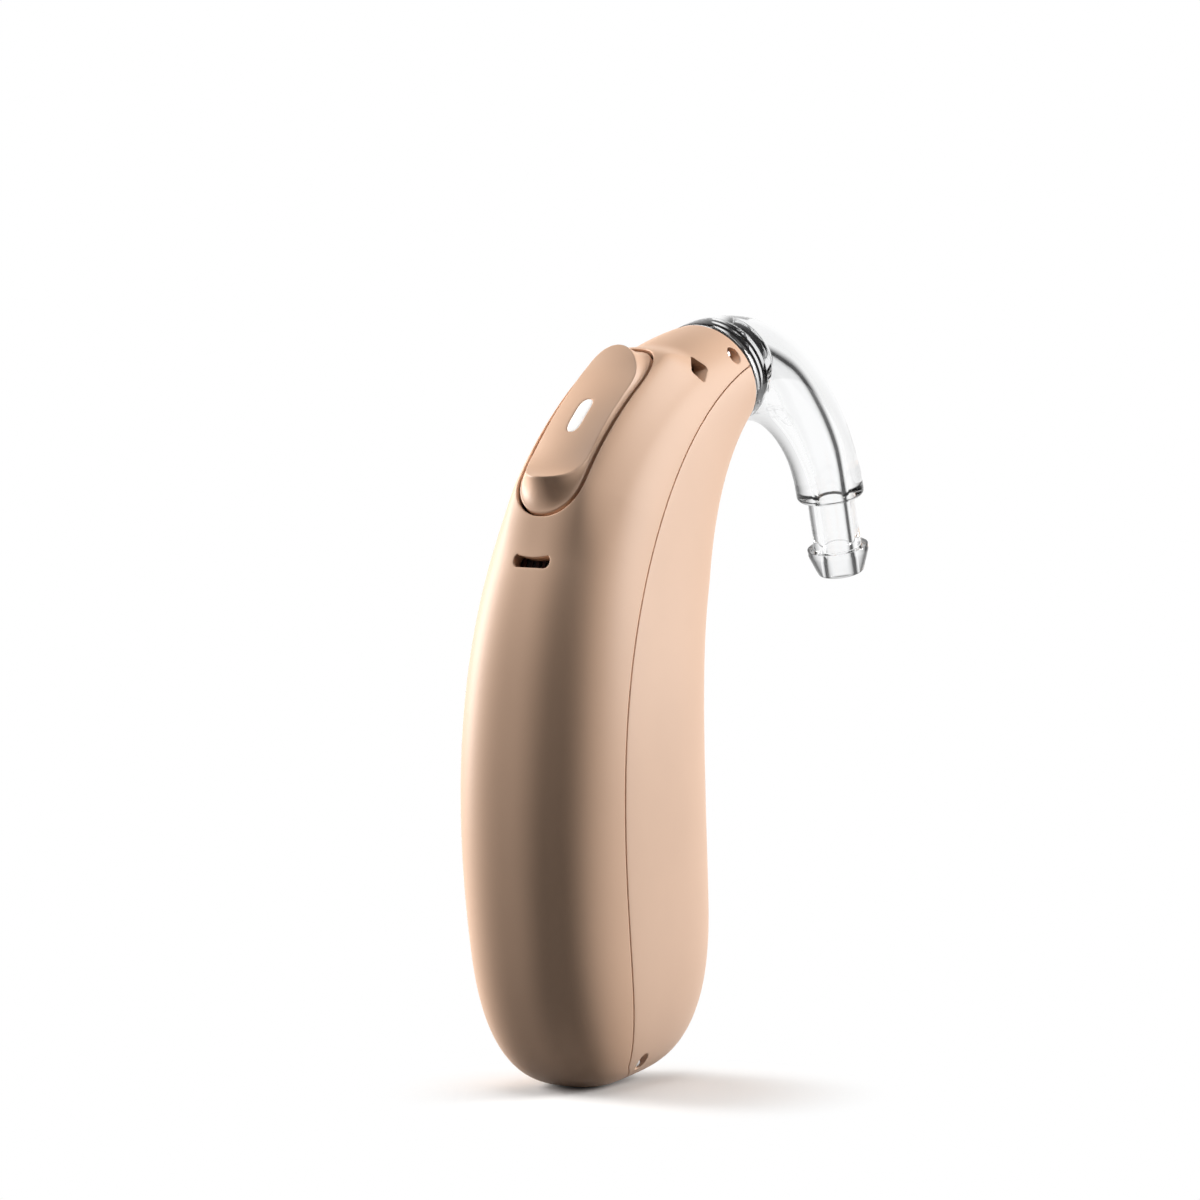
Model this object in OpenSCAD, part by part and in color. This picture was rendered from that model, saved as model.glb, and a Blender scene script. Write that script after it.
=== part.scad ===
// Behind-the-ear hearing aid: two moulded shells round a chassis with its electronics,
// a rocker on the spine and a clear ear hook on a ridged nozzle.
// +X points from the spine to the ear side, +Y is the wearer-neutral side axis, +Z is up.
// Most places are given as a share of the housing's curved middle line, from its foot (0)
// to the round rim (1), with a depth from that line: minus to the spine, plus to the ear.

/* [Housing] */
// Length of the housing along its curved middle line
housing_l = 39.6; // [37:0.2:43]
// Depth of the foot, spine to ear side, before it rounds off
foot_depth = 11.7; // [11.2:0.1:12.6]
// Depth of the belly
belly_depth = 13.4; // [13:0.1:14.4]
// Depth of the neck
neck_depth = 11.8; // [11.6:0.1:12.6]
// Thickness of the foot
foot_t = 7.7; // [7.5:0.1:8.6]
// Thickness at the cell
cell_zone_t = 8.6; // [8.4:0.1:9.6]
// Thickness of the belly
belly_t = 9.0; // [8.8:0.1:10]
// Thickness of the neck
neck_t = 7.7; // [7.6:0.1:8.6]
// Diameter of the round rim where the hook meets the housing
rim_d = 5.95; // [5.8:0.05:6.4]
// Length over which the foot rounds off
foot_round_l = 7.9; // [7:0.1:9]
// Lean of the rim's axis from upright, in degrees
rim_lean = 70; // [68:1:73]
// Wall of the moulded shells
wall = 0.7; // [0.6:0.05:0.75]
// Solid plastic at the foot, which holds the lower pin
foot_wall = 1.9; // [1.85:0.05:2.1]
// Width of the seam between the shells
seam_gap = 0.05; // [0.03:0.01:0.08]

/* [Rocker] */
// Distance of the rocker's middle from the foot, along the middle line
rocker_s = 30.9; // [30.6:0.1:31.2]
// Length of the rocker at the shell
rocker_l = 11.4; // [11:0.1:11.6]
// Width of the rocker at the shell
rocker_w = 3.5; // [3.4:0.02:3.7]
// Length of the raised pad on top
pad_l = 9.5; // [9:0.1:9.8]
// Width of the raised pad on top
pad_w = 3.24; // [3.1:0.02:3.3]
// Gap round the rocker
rocker_gap = 0.16; // [0.14:0.01:0.2]
// Height of the soft collar that the shell raises round the rocker
collar_h = 0.6; // [0.5:0.05:0.7]
// Diameter of the rocker's axle
axle_d = 0.6; // [0.5:0.05:0.7]
// Depth of the axle below the spine
axle_depth = 2.0; // [1.9:0.05:2.1]
// Length of the indicator window
window_l = 2.3; // [2:0.1:2.5]
// Width of the indicator window
window_w = 0.72; // [0.6:0.02:0.84]
// Distance of each switch from the axle
switch_reach = 3.4; // [3.2:0.1:3.6]

/* [Sound inlets] */
// Length of the rear microphone slot, across the spine
inlet_l = 2.1; // [1.8:0.1:2.4]
// Height of the rear microphone slot at its ends
inlet_h = 0.7; // [0.6:0.05:0.8]
// Distance of the slot from the foot, along the middle line
inlet_s = 24.55; // [24.4:0.05:24.7]
// Length of the front microphone's port, along the housing
port_l = 1.05; // [0.9:0.05:1.15]
// Width of the front microphone's port
port_w = 0.88; // [0.8:0.02:1]

/* [Ear hook] */
// Length of the hook's curved body, from the rim to its skirt end
hook_body_l = 15.6; // [15:0.1:16.2]
// Lean of the hook's tip from upright, in degrees
tip_lean = 165; // [160:1:172]
// Diameter of the hook at the end of its body
hook_end_d = 3.56; // [3.4:0.02:3.7]
// Length of the stem and its barb, past the body
tip_l = 4.2; // [3.9:0.05:4.5]
// Diameter of the stem
stem_d = 2.5; // [2.3:0.05:2.6]
// Diameter over the barb
barb_d = 3.22; // [3:0.02:3.3]
// Length of the barb, down to the tip's end
barb_l = 1.45; // [1.3:0.05:1.7]
// Diameter of the tip's end
tip_end_d = 2.4; // [2.2:0.02:2.5]
// Diameter of the sound bore in the tip
tip_bore_d = 1.3; // [1.1:0.05:1.4]

/* [Nozzle] */
// Length of the ridged part outside the rim
ridge_l = 1.5; // [1.4:0.05:1.8]
// Diameter over the first ridge
ridge_d = 5.3; // [5.1:0.02:5.4]
// Diameter over the last ridge
ridge_end_d = 4.6; // [4.4:0.02:4.8]
// Number of ridges
ridge_count = 3; // [2:1:4]
// Diameter of the spout past the ridges
spout_d = 2.3; // [2.1:0.05:2.4]
// Length of the spout past the ridges
spout_l = 1.45; // [1.2:0.05:1.6]
// Diameter of the nozzle's sound bore
nozzle_bore_d = 1.2; // [1:0.05:1.3]
// Length of the stub inside the housing
stub_l = 2.4; // [2.2:0.05:2.5]

/* [Pins] */
// Diameter of the two cross pins
pin_d = 0.6; // [0.5:0.05:0.62]
// Diameter of the holes' wider mouths
mouth_d = 0.82; // [0.76:0.02:0.9]

/* [Cell] */
// Diameter of the rechargeable cell
cell_d = 11.2; // [10.8:0.1:11.3]
// Thickness of the rechargeable cell
cell_t = 5.0; // [4.8:0.1:5.2]
// Distance of the cell's middle from the foot
cell_s = 10.1; // [9.9:0.05:10.3]
// Room between the cell and the shells' walls, spine and ear side
cell_room = 0.6; // [0.5:0.05:0.9]

/* [Receiver] */
// Length of the receiver
receiver_l = 6.9; // [6.5:0.1:7.1]
// Width of the receiver, across the housing
receiver_w = 4.1; // [3.8:0.1:4.3]
// Height of the receiver, spine to ear
receiver_h = 3.4; // [3.1:0.1:3.5]
// Rubber of the boot round it
boot_t = 0.4; // [0.3:0.05:0.45]
// Distance of the receiver's middle from the foot
receiver_s = 24.5; // [24.3:0.05:24.7]

/* [Hidden] */

// Fits
slip = 0.03; // radial clearance of a sliding or turning fit
pin_slip = 0.01; // radial clearance of a pin that stays put
seat = 0.05; // gap between pieces that rest against each other
pocket = 0.12; // clearance of a pocket round the piece in it
overrun = 0.5; // how far a cut runs past what it cuts
cell_depth = cell_d + 2 * wall + 2 * cell_room; // of the housing at the cell

// Housing outline: stations along the middle line, and what changes along it
lean_shares = [0, 0.25, 0.5, 0.75, 1];
lean_at = [-6.5, -6.5, 7.5, 36.5, rim_lean];
size_shares = [0, 0.2, 0.45, 0.7, 1];
depth_at = [foot_depth, cell_depth, belly_depth, neck_depth, rim_d];
thick_at = [foot_t, cell_zone_t, belly_t, neck_t, rim_d];
seam_shares = [-0.37, -0.39, -0.41, -0.28, -0.28];
spine_power = 3.1; // roundness of the section: 2 is an ellipse, more is squarer
ear_power = 3.6;
rim_power = 2;
foot_power = 3.2;
neck_share = 0.7; // from here the section turns into the rim's circle
foot_share = foot_round_l / housing_l;
foot_seam_share = 0.03; // below this the seam closes under the foot
axis_steps = 160;
foot_rings = 8;
low_rings = 11;
high_rings = 22;
high_share = 0.6; // from here the rings lie closer, for the collar
outer_sides = 24;
inner_sides = 22;
seal_sides = 6;

function mix(a, b, t) = a + (b - a) * t;
function unit(t) = min(1, max(0, t));
function span_of(t, ks, i = 0) = (i >= len(ks) - 2 || t < ks[i + 1]) ? i : span_of(t, ks, i + 1);
function chord(ks, vs, i, j) = (vs[j] - vs[i]) / (ks[j] - ks[i]);
function slope(ks, vs, i) = chord(ks, vs, max(0, i - 1), min(len(ks) - 1, i + 1));
// A smooth curve through the values vs at the stations ks
function smooth(t, ks, vs) =
    let (
        i = span_of(t, ks),
        w = ks[i + 1] - ks[i],
        q = (t - ks[i]) / w,
        m0 = slope(ks, vs, i) * w,
        m1 = slope(ks, vs, i + 1) * w
    )
    vs[i] * (2 * q * q * q - 3 * q * q + 1) + m0 * (q * q * q - 2 * q * q + q)
    + vs[i + 1] * (3 * q * q - 2 * q * q * q) + m1 * (q * q * q - q * q);
// Points of a curve that starts at p0 and leans by lean(share) from upright
function along(lean, len, steps, p0) = [
    for (i = 0, p = p0; i <= steps; p = p + len / steps * heading(lean[i]), i = i + 1) p
];
function heading(a) = [sin(a), cos(a)];
function between(list, t) =
    let (k = unit(t) * (len(list) - 1), i = min(len(list) - 2, floor(k)))
    mix(list[i], list[i + 1], k - i);

function housing_lean(u) = smooth(u, lean_shares, lean_at);
lean_steps = [for (i = [0 : axis_steps]) housing_lean(min(1, (i + 0.5) / axis_steps))];
raw_axis = along(lean_steps, housing_l, axis_steps, [0, 0]);

// Sections
function half_depth(u) = smooth(u, size_shares, depth_at) / 2;
function half_thick(u) = smooth(u, size_shares, thick_at) / 2;
function round_off(u) = u >= foot_share ? 1 : pow(1 - pow(1 - u / foot_share, foot_power), 1 / foot_power);
function to_rim(power, u) = mix(power, rim_power, unit((u - neck_share) / (1 - neck_share)));
function side_power(u, psi) = to_rim(cos(psi) < 0 ? spine_power : ear_power, u);
function polar(a, b, psi, power) =
    pow(pow(abs(cos(psi)) / a, power) + pow(abs(sin(psi)) / b, power), -1 / power);

// The soft collar round the rocker: level as far as the opening, then it fades into the shell
collar_shares = [0.62, 0.78, 0.86, 0.93];
collar_rise_shares = [1, 1, 1.05, 1.05];
collar_from_shares = [0.62, 0.7]; // where it rises
collar_to_shares = [0.88, 0.925]; // where it sinks again
collar_side_shares = [0.7, 0.88]; // over which its sides rise above its middle
collar_side_rise_share = 0.42;
collar_flat_share = 1.06; // of the rocker's half width
collar_fade_share = 0.84; // of the housing's half thickness
function ease(t) = t * t * (3 - 2 * t);
function share_between(u, shares) = unit((u - shares[0]) / (shares[1] - shares[0]));
function collar(u, y) =
    let (
        low = collar_flat_share * rocker_w / 2,
        high = collar_fade_share * half_thick(u),
        t = unit((abs(y) - low) / (high - low)),
        flank = pow(share_between(u, collar_side_shares), 1.5) * pow(min(abs(y) / low, 1), 2),
        side = collar_side_rise_share * flank,
        ends = ease(share_between(u, collar_from_shares)) * (1 - ease(share_between(u, collar_to_shares)))
    )
    ends == 0 ? 0
    : collar_h * ends * (smooth(u, collar_shares, collar_rise_shares) + side) * pow(cos(90 * t), 2);

// A skin point: layer 0 is the outside, layer 1 the inside of the wall
function layer_share(u, layer) = layer == 0 ? u : mix(foot_wall / housing_l, 1, u);
function layer_depth(u, layer) = (half_depth(layer_share(u, layer)) - layer * wall) * round_off(u);
function layer_thick(u, layer) = (half_thick(layer_share(u, layer)) - layer * wall) * round_off(u);
function skin(u, layer, psi) =
    let (
        v = layer_share(u, layer),
        r = polar(layer_depth(u, layer), layer_thick(u, layer), psi, side_power(v, psi)),
        d = r * cos(psi),
        y = r * sin(psi)
    )
    raw_spot(v, d < 0 ? d - collar(v, y) : d, y);
function raw_spot(u, d, y) =
    let (c = between(raw_axis, u), a = housing_lean(u))
    [c.x + d * cos(a), y, c.y - d * sin(a)];

// The seam: its depth, and the angle in the section at which a shell's edge lies
function seam_share(u) = smooth(u, size_shares, seam_shares) * sqrt(unit(u / foot_seam_share));
function edge_angle(u, layer, side) =
    let (
        a = layer_depth(u, layer),
        b = layer_thick(u, layer),
        d = seam_share(u) * a + side * seam_gap / 2,
        p = side_power(layer_share(u, layer), 180)
    )
    atan2(b * pow(1 - pow(min(0.999, abs(d) / a), p), 1 / p), d);

// Hook
hook_l = hook_body_l;
hook_lean_shares = [0, 0.1, 0.334, 0.669, 1];
hook_turn_shares = [0, 0.145, 0.372, 0.653, 1]; // of the turn from the rim's lean to the tip's
hook_lean_at = [for (v = hook_turn_shares) mix(rim_lean, tip_lean, v)];
hook_size_shares = [0, 0.13, 0.27, 0.53, 0.8, 1];
hook_swell_shares = [1, 0.84, 0.7, 0.27, 0.03, 0]; // from the end's diameter to the rim's
hook_steps = 60;
hook_rings = 24;
hook_sides = 24;
bore_sides = 16;
hook_clear = 0.1; // gap between the hook and the housing's rim
function hook_lean(t) = smooth(t, hook_lean_shares, hook_lean_at);
function hook_r(t) = mix(hook_end_d, rim_d, smooth(t, hook_size_shares, hook_swell_shares)) / 2;
hook_lean_steps = [for (i = [0 : hook_steps]) hook_lean(min(1, (i + 0.5) / hook_steps))];
raw_hook = along(hook_lean_steps, hook_l, hook_steps, raw_axis[axis_steps]);

// The origin: middle of the box in X, lowest point in Z
ring_shares = concat(
    [for (i = [1 : foot_rings]) foot_share * (1 - cos(90 * i / foot_rings))],
    [for (i = [1 : low_rings]) mix(foot_share, high_share, i / low_rings)],
    [for (i = [1 : high_rings]) mix(high_share, 1, i / high_rings)]
);
spine_line = [for (u = ring_shares) skin(u, 0, 180)];
tip_corner = raw_hook[hook_steps] + (tip_l - barb_l) * heading(tip_lean)
    + barb_d / 2 * [-cos(tip_lean), sin(tip_lean)];
hook_outline_x =
    [for (i = [0 : hook_steps]) raw_hook[i].x - hook_r(i / hook_steps) * cos(hook_lean(i / hook_steps))];
foot_line = [for (i = [1 : foot_rings]) for (psi = [0, 180]) skin(ring_shares[i - 1], 0, psi)];
low_x = min([for (p = spine_line) p.x]);
high_x = max(concat(hook_outline_x, [tip_corner.x]));
low_z = min([for (p = foot_line) p.z]);
origin = [(low_x + high_x) / 2, 0, low_z];

function spot(u, d, y) = raw_spot(u, d, y) - origin;
function hook_spot(t, d, y) =
    let (c = between(raw_hook, t), a = hook_lean(t))
    [c.x + d * cos(a), y, c.y - d * sin(a)] - origin;

// A frame on the middle line: local X is depth towards the ear, local Z runs to the rim
module at_share(u) {
    translate(spot(u, 0, 0)) rotate([0, housing_lean(u), 0]) children();
}
module at_length(s) {
    at_share(s / housing_l) children();
}
// The rocker's frame: local X is depth below the spine, local Z runs up along the spine
rocker_u = rocker_s / housing_l;
rocker_lean = housing_lean(rocker_u);
module at_rocker() {
    at_share(rocker_u) translate([-half_depth(rocker_u), 0, 0]) children();
}
// A cylinder along Y, centred
module cross(d, l) {
    rotate([90, 0, 0]) cylinder(d = d, h = l, center = true, $fn = 48);
}
// A block by its lowest and highest corners
module block(low, high) {
    translate(low) cube(high - low);
}
// A slab with a rounded outline in X and Z, of thickness t along Y
module slab(size_x, size_z, t, r) {
    rotate([90, 0, 0]) linear_extrude(height = t, center = true) rounded(size_x, size_z, r);
}
module rounded(w, h, r) {
    hx = w / 2 - r;
    hy = h / 2 - r;
    union() {
        square([w, h - 2 * r], center = true);
        square([w - 2 * r, h], center = true);
        for (x = [-hx, hx]) for (y = [-hy, hy]) translate([x, y]) circle(r = r, $fn = 24);
    }
}

// Triangles between neighbouring rings of n points, and fans and strips that close them
function band(i, n) = [
    for (j = [0 : n - 1])
        let (a = i * n + j, b = i * n + (j + 1) % n, c = a + n, d = b + n)
        each [[a, c, b], [b, c, d]]
];

// Draws the shares from -1 to 1 towards the middle, so that the points lie closer there
near_share = 0.7;
function nearer(q) = q * mix(near_share, 1, q * q);
// One shell: its rings hold the outside arc and then the inside arc, back again
module shell_half(sides, side) {
    n = 2 * (sides + 1);
    rings = [
        for (u = ring_shares) [
            for (layer = [0, 1])
                let (e = edge_angle(u, layer, side))
                for (k = [0 : sides])
                    let (
                        t = (layer == 0 ? k : sides - k) / sides,
                        psi = side < 0 ? 180 + (180 - e) * nearer(2 * t - 1) : mix(-e, e, t)
                    )
                    skin(u, layer, psi) - origin
        ]
    ];
    count = len(rings);
    poles = [spot(0, side * seam_gap / 2, 0), spot(foot_wall / housing_l, side * seam_gap / 2, 0)];
    first = count * n;
    last = (count - 1) * n;
    sides_faces = [for (i = [0 : count - 2]) each band(i, n)];
    foot_faces = concat(
        [for (j = [0 : sides - 1]) [first, j, j + 1]],
        [for (j = [sides + 1 : n - 2]) [first + 1, j, j + 1]],
        [[first, sides, sides + 1], [first, sides + 1, first + 1]],
        [[first + 1, n - 1, 0], [first + 1, 0, first]]
    );
    rim_faces = [
        for (j = [0 : sides - 1])
            let (a = last + j, b = last + j + 1, c = last + n - 1 - j, d = last + n - 2 - j)
            each [[a, c, b], [b, c, d]]
    ];
    polyhedron(
        points = concat([for (r = rings) each r], poles),
        faces = concat(sides_faces, foot_faces, rim_faces)
    );
}

// Cross pins
upper_pin_below = 0.76; // the rim
upper_pin_off = 1.73; // the middle line, towards the spine
upper_pin_l = 4.1;
lower_pin_above = 1.2; // the foot
lower_pin_off = 0.5;
lower_pin_l = 5.1;
upper_pin_s = housing_l - upper_pin_below;
upper_pin_depth = -upper_pin_off;
lower_pin_s = lower_pin_above;
lower_pin_depth = -lower_pin_off;
module pin_hole(s, depth, l) {
    at_length(s) translate([depth, 0, 0]) {
        cross(pin_d + 2 * pin_slip, foot_t + 2 * overrun);
        for (side = [-1, 1]) translate([0, side * (l / 2 + foot_t / 2), 0]) cross(mouth_d, foot_t);
    }
}
module pin(s, depth, l) {
    at_length(s) translate([depth, 0, 0]) cross(pin_d, l);
}

module outer_shell() {
    color("#d9b597") difference() {
        shell_half(outer_sides, -1);
        rocker_opening();
        rear_slot();
        front_ports();
        pin_hole(upper_pin_s, upper_pin_depth, upper_pin_l);
        pin_hole(lower_pin_s, lower_pin_depth, lower_pin_l);
    }
}

module inner_shell() {
    color("#ecd0ba") difference() {
        shell_half(inner_sides, 1);
        pin_hole(lower_pin_s, lower_pin_depth, lower_pin_l);
        for (s = contact_places) contact_bore(s);
    }
}

// A soft bead inside the seam, on each side
bead_d = 0.34;
bead_low_gap = 0.9; // above the solid foot
bead_high_gap = 0.6; // below the nozzle's stub
bead_low_s = foot_wall + bead_low_gap;
bead_high_s = housing_l - stub_l - bead_high_gap;
bead_rings = 22;
module shell_seal() {
    color("#c9b8a6") for (side = [-1, 1]) bead(side);
}
module bead(side) {
    n = seal_sides;
    rings = [
        for (i = [0 : bead_rings])
            let (
                s = mix(bead_low_s, bead_high_s, pow(i / bead_rings, 1.3)) / housing_l,
                u = (s - foot_wall / housing_l) / (1 - foot_wall / housing_l),
                e = edge_angle(u, 1, 0),
                r = polar(layer_depth(u, 1), layer_thick(u, 1), e, side_power(s, 180)),
                d = r * cos(e),
                y = side * (r * sin(e) - bead_d / 2 - seat)
            )
            [for (k = [0 : n - 1]) let (g = 360 * k / n)
                spot(s, d + bead_d / 2 * cos(g), y + bead_d / 2 * sin(g))]
    ];
    tube_solid(rings, n);
}

// Rocker: its outline has straight sides between two rounded ends
rocker_sides = 48;
arc_sides = rocker_sides / 6;
rocker_shift_share = -0.0329; // of its length: the outline's middle, from the axle
rocker_arc_shares = [0.1754, 0.2632];
rocker_middle = rocker_shift_share * rocker_l;
rocker_arcs = rocker_arc_shares * rocker_l;
rocker_powers = [2.2, 2.5];
pad_shift_share = -0.0116;
pad_arc_shares = [0.2179, 0.2495];
pad_middle = pad_shift_share * pad_l;
pad_arcs = pad_arc_shares * pad_l;
pad_powers = [2.2, 2];
window_arc_shares = [0.348, 0.348];
window_arcs = window_arc_shares * window_l;
window_powers = [2.6, 2.6];
rocker_deep = 0.85; // from the spine down to the rocker's underside
base_sink = 0.05; // of the rocker's edge below the shell's
pad_shares = [-0.5, -0.44, -0.387, -0.283, -0.125, 0.027, 0.169, 0.295, 0.369, 0.5];
pad_h = 1.8; // of the pad's highest point, above the frame
rim_rise_shares = [0.983, 0.739, 0.589, 0.456, 0.394, 0.294, 0.139, 0.006, -0.017, 0.094]; // the pad's edge
crest_rise_shares = [0.989, 0.761, 0.644, 0.572, 0.5, 0.4, 0.228, 0.072, 0.039, 0.094]; // the pad's middle
pad_round = 0.14;
pad_round_share = 0.7;
pad_across = 6;
waist_share = 0.5; // of the way from the rocker's edge to the pad's
waist_rise_share = 0.3;
spine_reach = [0.55, 0.99];
spine_points = 44;
// The plain spine in the rocker's frame: along it, its depth and its share
spine_list = [
    for (i = [0 : spine_points])
        let (
            u = mix(spine_reach[0], spine_reach[1], i / spine_points),
            p = spot(u, -half_depth(u), 0) - spot(rocker_u, -half_depth(rocker_u), 0)
        )
        [p.x * sin(rocker_lean) + p.z * cos(rocker_lean), p.x * cos(rocker_lean) - p.z * sin(rocker_lean), u]
];
spine_depths = [for (v = spine_list) [v[0], v[1]]];
spine_shares = [for (v = spine_list) [v[0], v[2]]];
function spine_depth(z) = lookup(z, spine_depths);
// Depth of the shell's outside (layer 0) or inside (layer 1) below the frame's origin, at z and y
function shell_depth(z, y, layer) =
    let (
        u = lookup(z, spine_shares),
        a = half_depth(u) - layer * wall,
        b = half_thick(u) - layer * wall,
        power = side_power(u, 180),
        drop = a * (1 - pow(1 - pow(abs(y) / b, power), 1 / power))
    )
    spine_depth(z) + layer * wall + drop * cos(housing_lean(u) - rocker_lean) - collar(u, y);
// Point k of an outline l long and w wide, with an end arc of its own at each end
function outline(k, l, w, arcs, powers) =
    let (
        m = k > rocker_sides / 2 ? rocker_sides - k : k,
        side = k > rocker_sides / 2 ? -1 : 1,
        high = l / 2 - arcs[1],
        low = -l / 2 + arcs[0],
        q = 90 * (m % arc_sides) / arc_sides
    )
    m < arc_sides ? [high + arcs[1] * pow(cos(q), 2 / powers[1]), side * w / 2 * pow(sin(q), 2 / powers[1])]
    : m < 2 * arc_sides ? [mix(high, low, m / arc_sides - 1), side * w / 2]
    : m < 3 * arc_sides ? [low - arcs[0] * pow(sin(q), 2 / powers[0]), side * w / 2 * pow(cos(q), 2 / powers[0])]
    : [-l / 2, 0];
function rocker_outline(k, grow) =
    outline(k, rocker_l + 2 * grow, rocker_w + 2 * grow, rocker_arcs + [grow, grow], rocker_powers)
    + [rocker_middle, 0];
function pad_outline(k, inset) =
    outline(k, pad_l - 2 * inset, pad_w - 2 * inset, pad_arcs - [inset, inset], pad_powers) + [pad_middle, 0];
function window_outline(k, grow) =
    outline(k, window_l + 2 * grow, window_w + 2 * grow, window_arcs + [grow, grow], window_powers)
    + [window_z, 0];
function pad_at(z) = min(0.5, max(-0.5, (z - pad_middle) / pad_l));
function rim_height(z) = pad_h * smooth(pad_at(z), pad_shares, rim_rise_shares);
function crest_height(z) = pad_h * smooth(pad_at(z), pad_shares, crest_rise_shares);
module prism(points, low, high) {
    translate([low, 0, 0]) rotate([0, 90, 0]) linear_extrude(height = high - low)
        polygon([for (p = points) [-p[0], p[1]]]);
}
module rocker_opening() {
    at_rocker() prism(
        [for (k = [0 : rocker_sides - 1]) rocker_outline(k, rocker_gap)],
        -overrun - 2 * collar_h,
        axle_depth + overrun
    );
}
module rocker_body() {
    n = rocker_sides;
    half = n / 2;
    // rings from the underside to the pad's edge, then rows across the pad
    low = [for (k = [0 : n - 1]) let (p = rocker_outline(k, 0))
        [spine_depth(p[0]) + rocker_deep, p[1], p[0]]];
    edge = [for (k = [0 : n - 1]) let (p = rocker_outline(k, 0))
        [shell_depth(p[0], p[1], 0) + base_sink, p[1], p[0]]];
    pad = [for (k = [0 : n - 1]) let (p = pad_outline(k, 0))
        [pad_round * pad_round_share - rim_height(p[0]), p[1], p[0]]];
    waist = [for (k = [0 : n - 1])
        [
            mix(edge[k].x, pad[k].x, waist_rise_share),
            mix(edge[k].y, pad[k].y, waist_share),
            mix(edge[k].z, pad[k].z, waist_share)
        ]];
    brim = [for (k = [0 : n - 1]) let (p = pad_outline(k, pad_round)) [-rim_height(p[0]), p[1], p[0]]];
    rows = [
        for (k = [1 : half - 1]) for (m = [1 : pad_across - 1])
            let (a = brim[k], q = 1 - 2 * m / pad_across)
            [-mix(crest_height(a.z), rim_height(a.z), q * q), a.y * q, a.z]
    ];
    first = 5 * n;
    middle = first + len(rows);
    function cell(k, m) =
        m == 0 ? 4 * n + k : m == pad_across ? 5 * n - k : first + (k - 1) * (pad_across - 1) + m - 1;
    polyhedron(
        points = concat(low, edge, waist, pad, brim, rows, [[spine_depth(0) + rocker_deep, 0, 0]]),
        faces = concat(
            [for (i = [0 : 3]) each band(i, n)],
            [for (k = [0 : n - 1]) [middle, k, (k + 1) % n]],
            [for (k = [1 : half - 2]) for (m = [0 : pad_across - 1])
                each [
                    [cell(k, m), cell(k + 1, m + 1), cell(k + 1, m)],
                    [cell(k, m), cell(k, m + 1), cell(k + 1, m + 1)]
                ]],
            [for (m = [0 : pad_across - 1]) [4 * n, cell(1, m + 1), cell(1, m)]],
            [for (m = [0 : pad_across - 1]) [4 * n + half, cell(half - 1, m), cell(half - 1, m + 1)]]
        )
    );
}
lug_hub_d = 1.1; // of the rocker's two hanging lugs
lug_inner_y = 0.95;
lug_outer_y = 1.45;
nib_d = 1.0;
nib_past = 0.35; // of the nib's end past the axle's middle
nib_end = axle_depth + nib_past;
lug_root = 0.3; // how far the lugs reach into the rocker
window_below = 0.25; // the axle
window_z = -window_below;
window_sink = 0.02; // of the window below the pad
window_foot = 1.15;
module window_prism(grow, low, high) {
    prism([for (k = [0 : rocker_sides - 1]) window_outline(k, grow)], low, high);
}
module rocker_button() {
    color("#cfa888") at_rocker() difference() {
        union() {
            rocker_body();
            for (side = [-1, 1]) {
                translate([axle_depth, side * (lug_inner_y + lug_outer_y) / 2, 0])
                    cross(lug_hub_d, lug_outer_y - lug_inner_y);
                translate([0, side * (lug_inner_y + lug_outer_y) / 2, 0])
                    block(
                        [rocker_deep - lug_root, -(lug_outer_y - lug_inner_y) / 2, -lug_hub_d / 2],
                        [axle_depth, (lug_outer_y - lug_inner_y) / 2, lug_hub_d / 2]
                    );
                translate([rocker_deep / 2, 0, side * switch_reach]) rotate([0, 90, 0])
                    cylinder(d = nib_d, h = nib_end - rocker_deep / 2, $fn = 32);
            }
        }
        translate([axle_depth, 0, 0]) cross(axle_d + 2 * slip, 2 * lug_outer_y + 2 * overrun);
        window_prism(pin_slip, -2 * rocker_deep, 2 * rocker_deep);
    }
}
module light_guide() {
    color("#f4f4f0") at_rocker() difference() {
        window_prism(0, -2 * rocker_deep, window_foot);
        window_roof();
    }
}
// What lies above the pad's curved top, so that the window's end follows it
module window_roof() {
    steps = 12;
    reach = window_l / 2 + overrun;
    top = -3 * rocker_deep;
    rotate([90, 0, 0]) linear_extrude(height = window_w + 2 * overrun, center = true)
        polygon(concat(
            [for (i = [0 : steps]) let (z = window_z + mix(-reach, reach, i / steps))
                [window_sink - crest_height(z), z]],
            [[top, window_z + reach], [top, window_z - reach]]
        ));
}

bracket_half_w = 1.95;
ear_inner_y = lug_outer_y + seat;
ear_top = 1.45;
switch_h = 0.7;
switch_w = 2.0;
switch_l = 2.3;
plunger_d = 0.9;
plunger_out = 0.3; // of the plunger's top above the switch body
plunger_deep = 0.3;
plunger_travel = 0.2;
nib_gap = 0.03;
switch_top = nib_end + nib_gap + plunger_out;
bracket_top = switch_top + switch_h + pin_slip;
bracket_t = 0.35;
bracket_low_l = 4.9; // from the axle towards the foot
bracket_high_l = 4.7; // and towards the rim
bracket_low_z = -bracket_low_l;
bracket_high_z = bracket_high_l;
bracket_ear_share = 0.6; // of the lug's width, each side
bracket_window_share = 0.45; // of the bracket's half width
bracket_window_half_l = 1.5;
module rocker_axle() {
    color("#c8ccd0") at_rocker() translate([axle_depth, 0, 0]) cross(axle_d, 2 * bracket_half_w);
}
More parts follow.
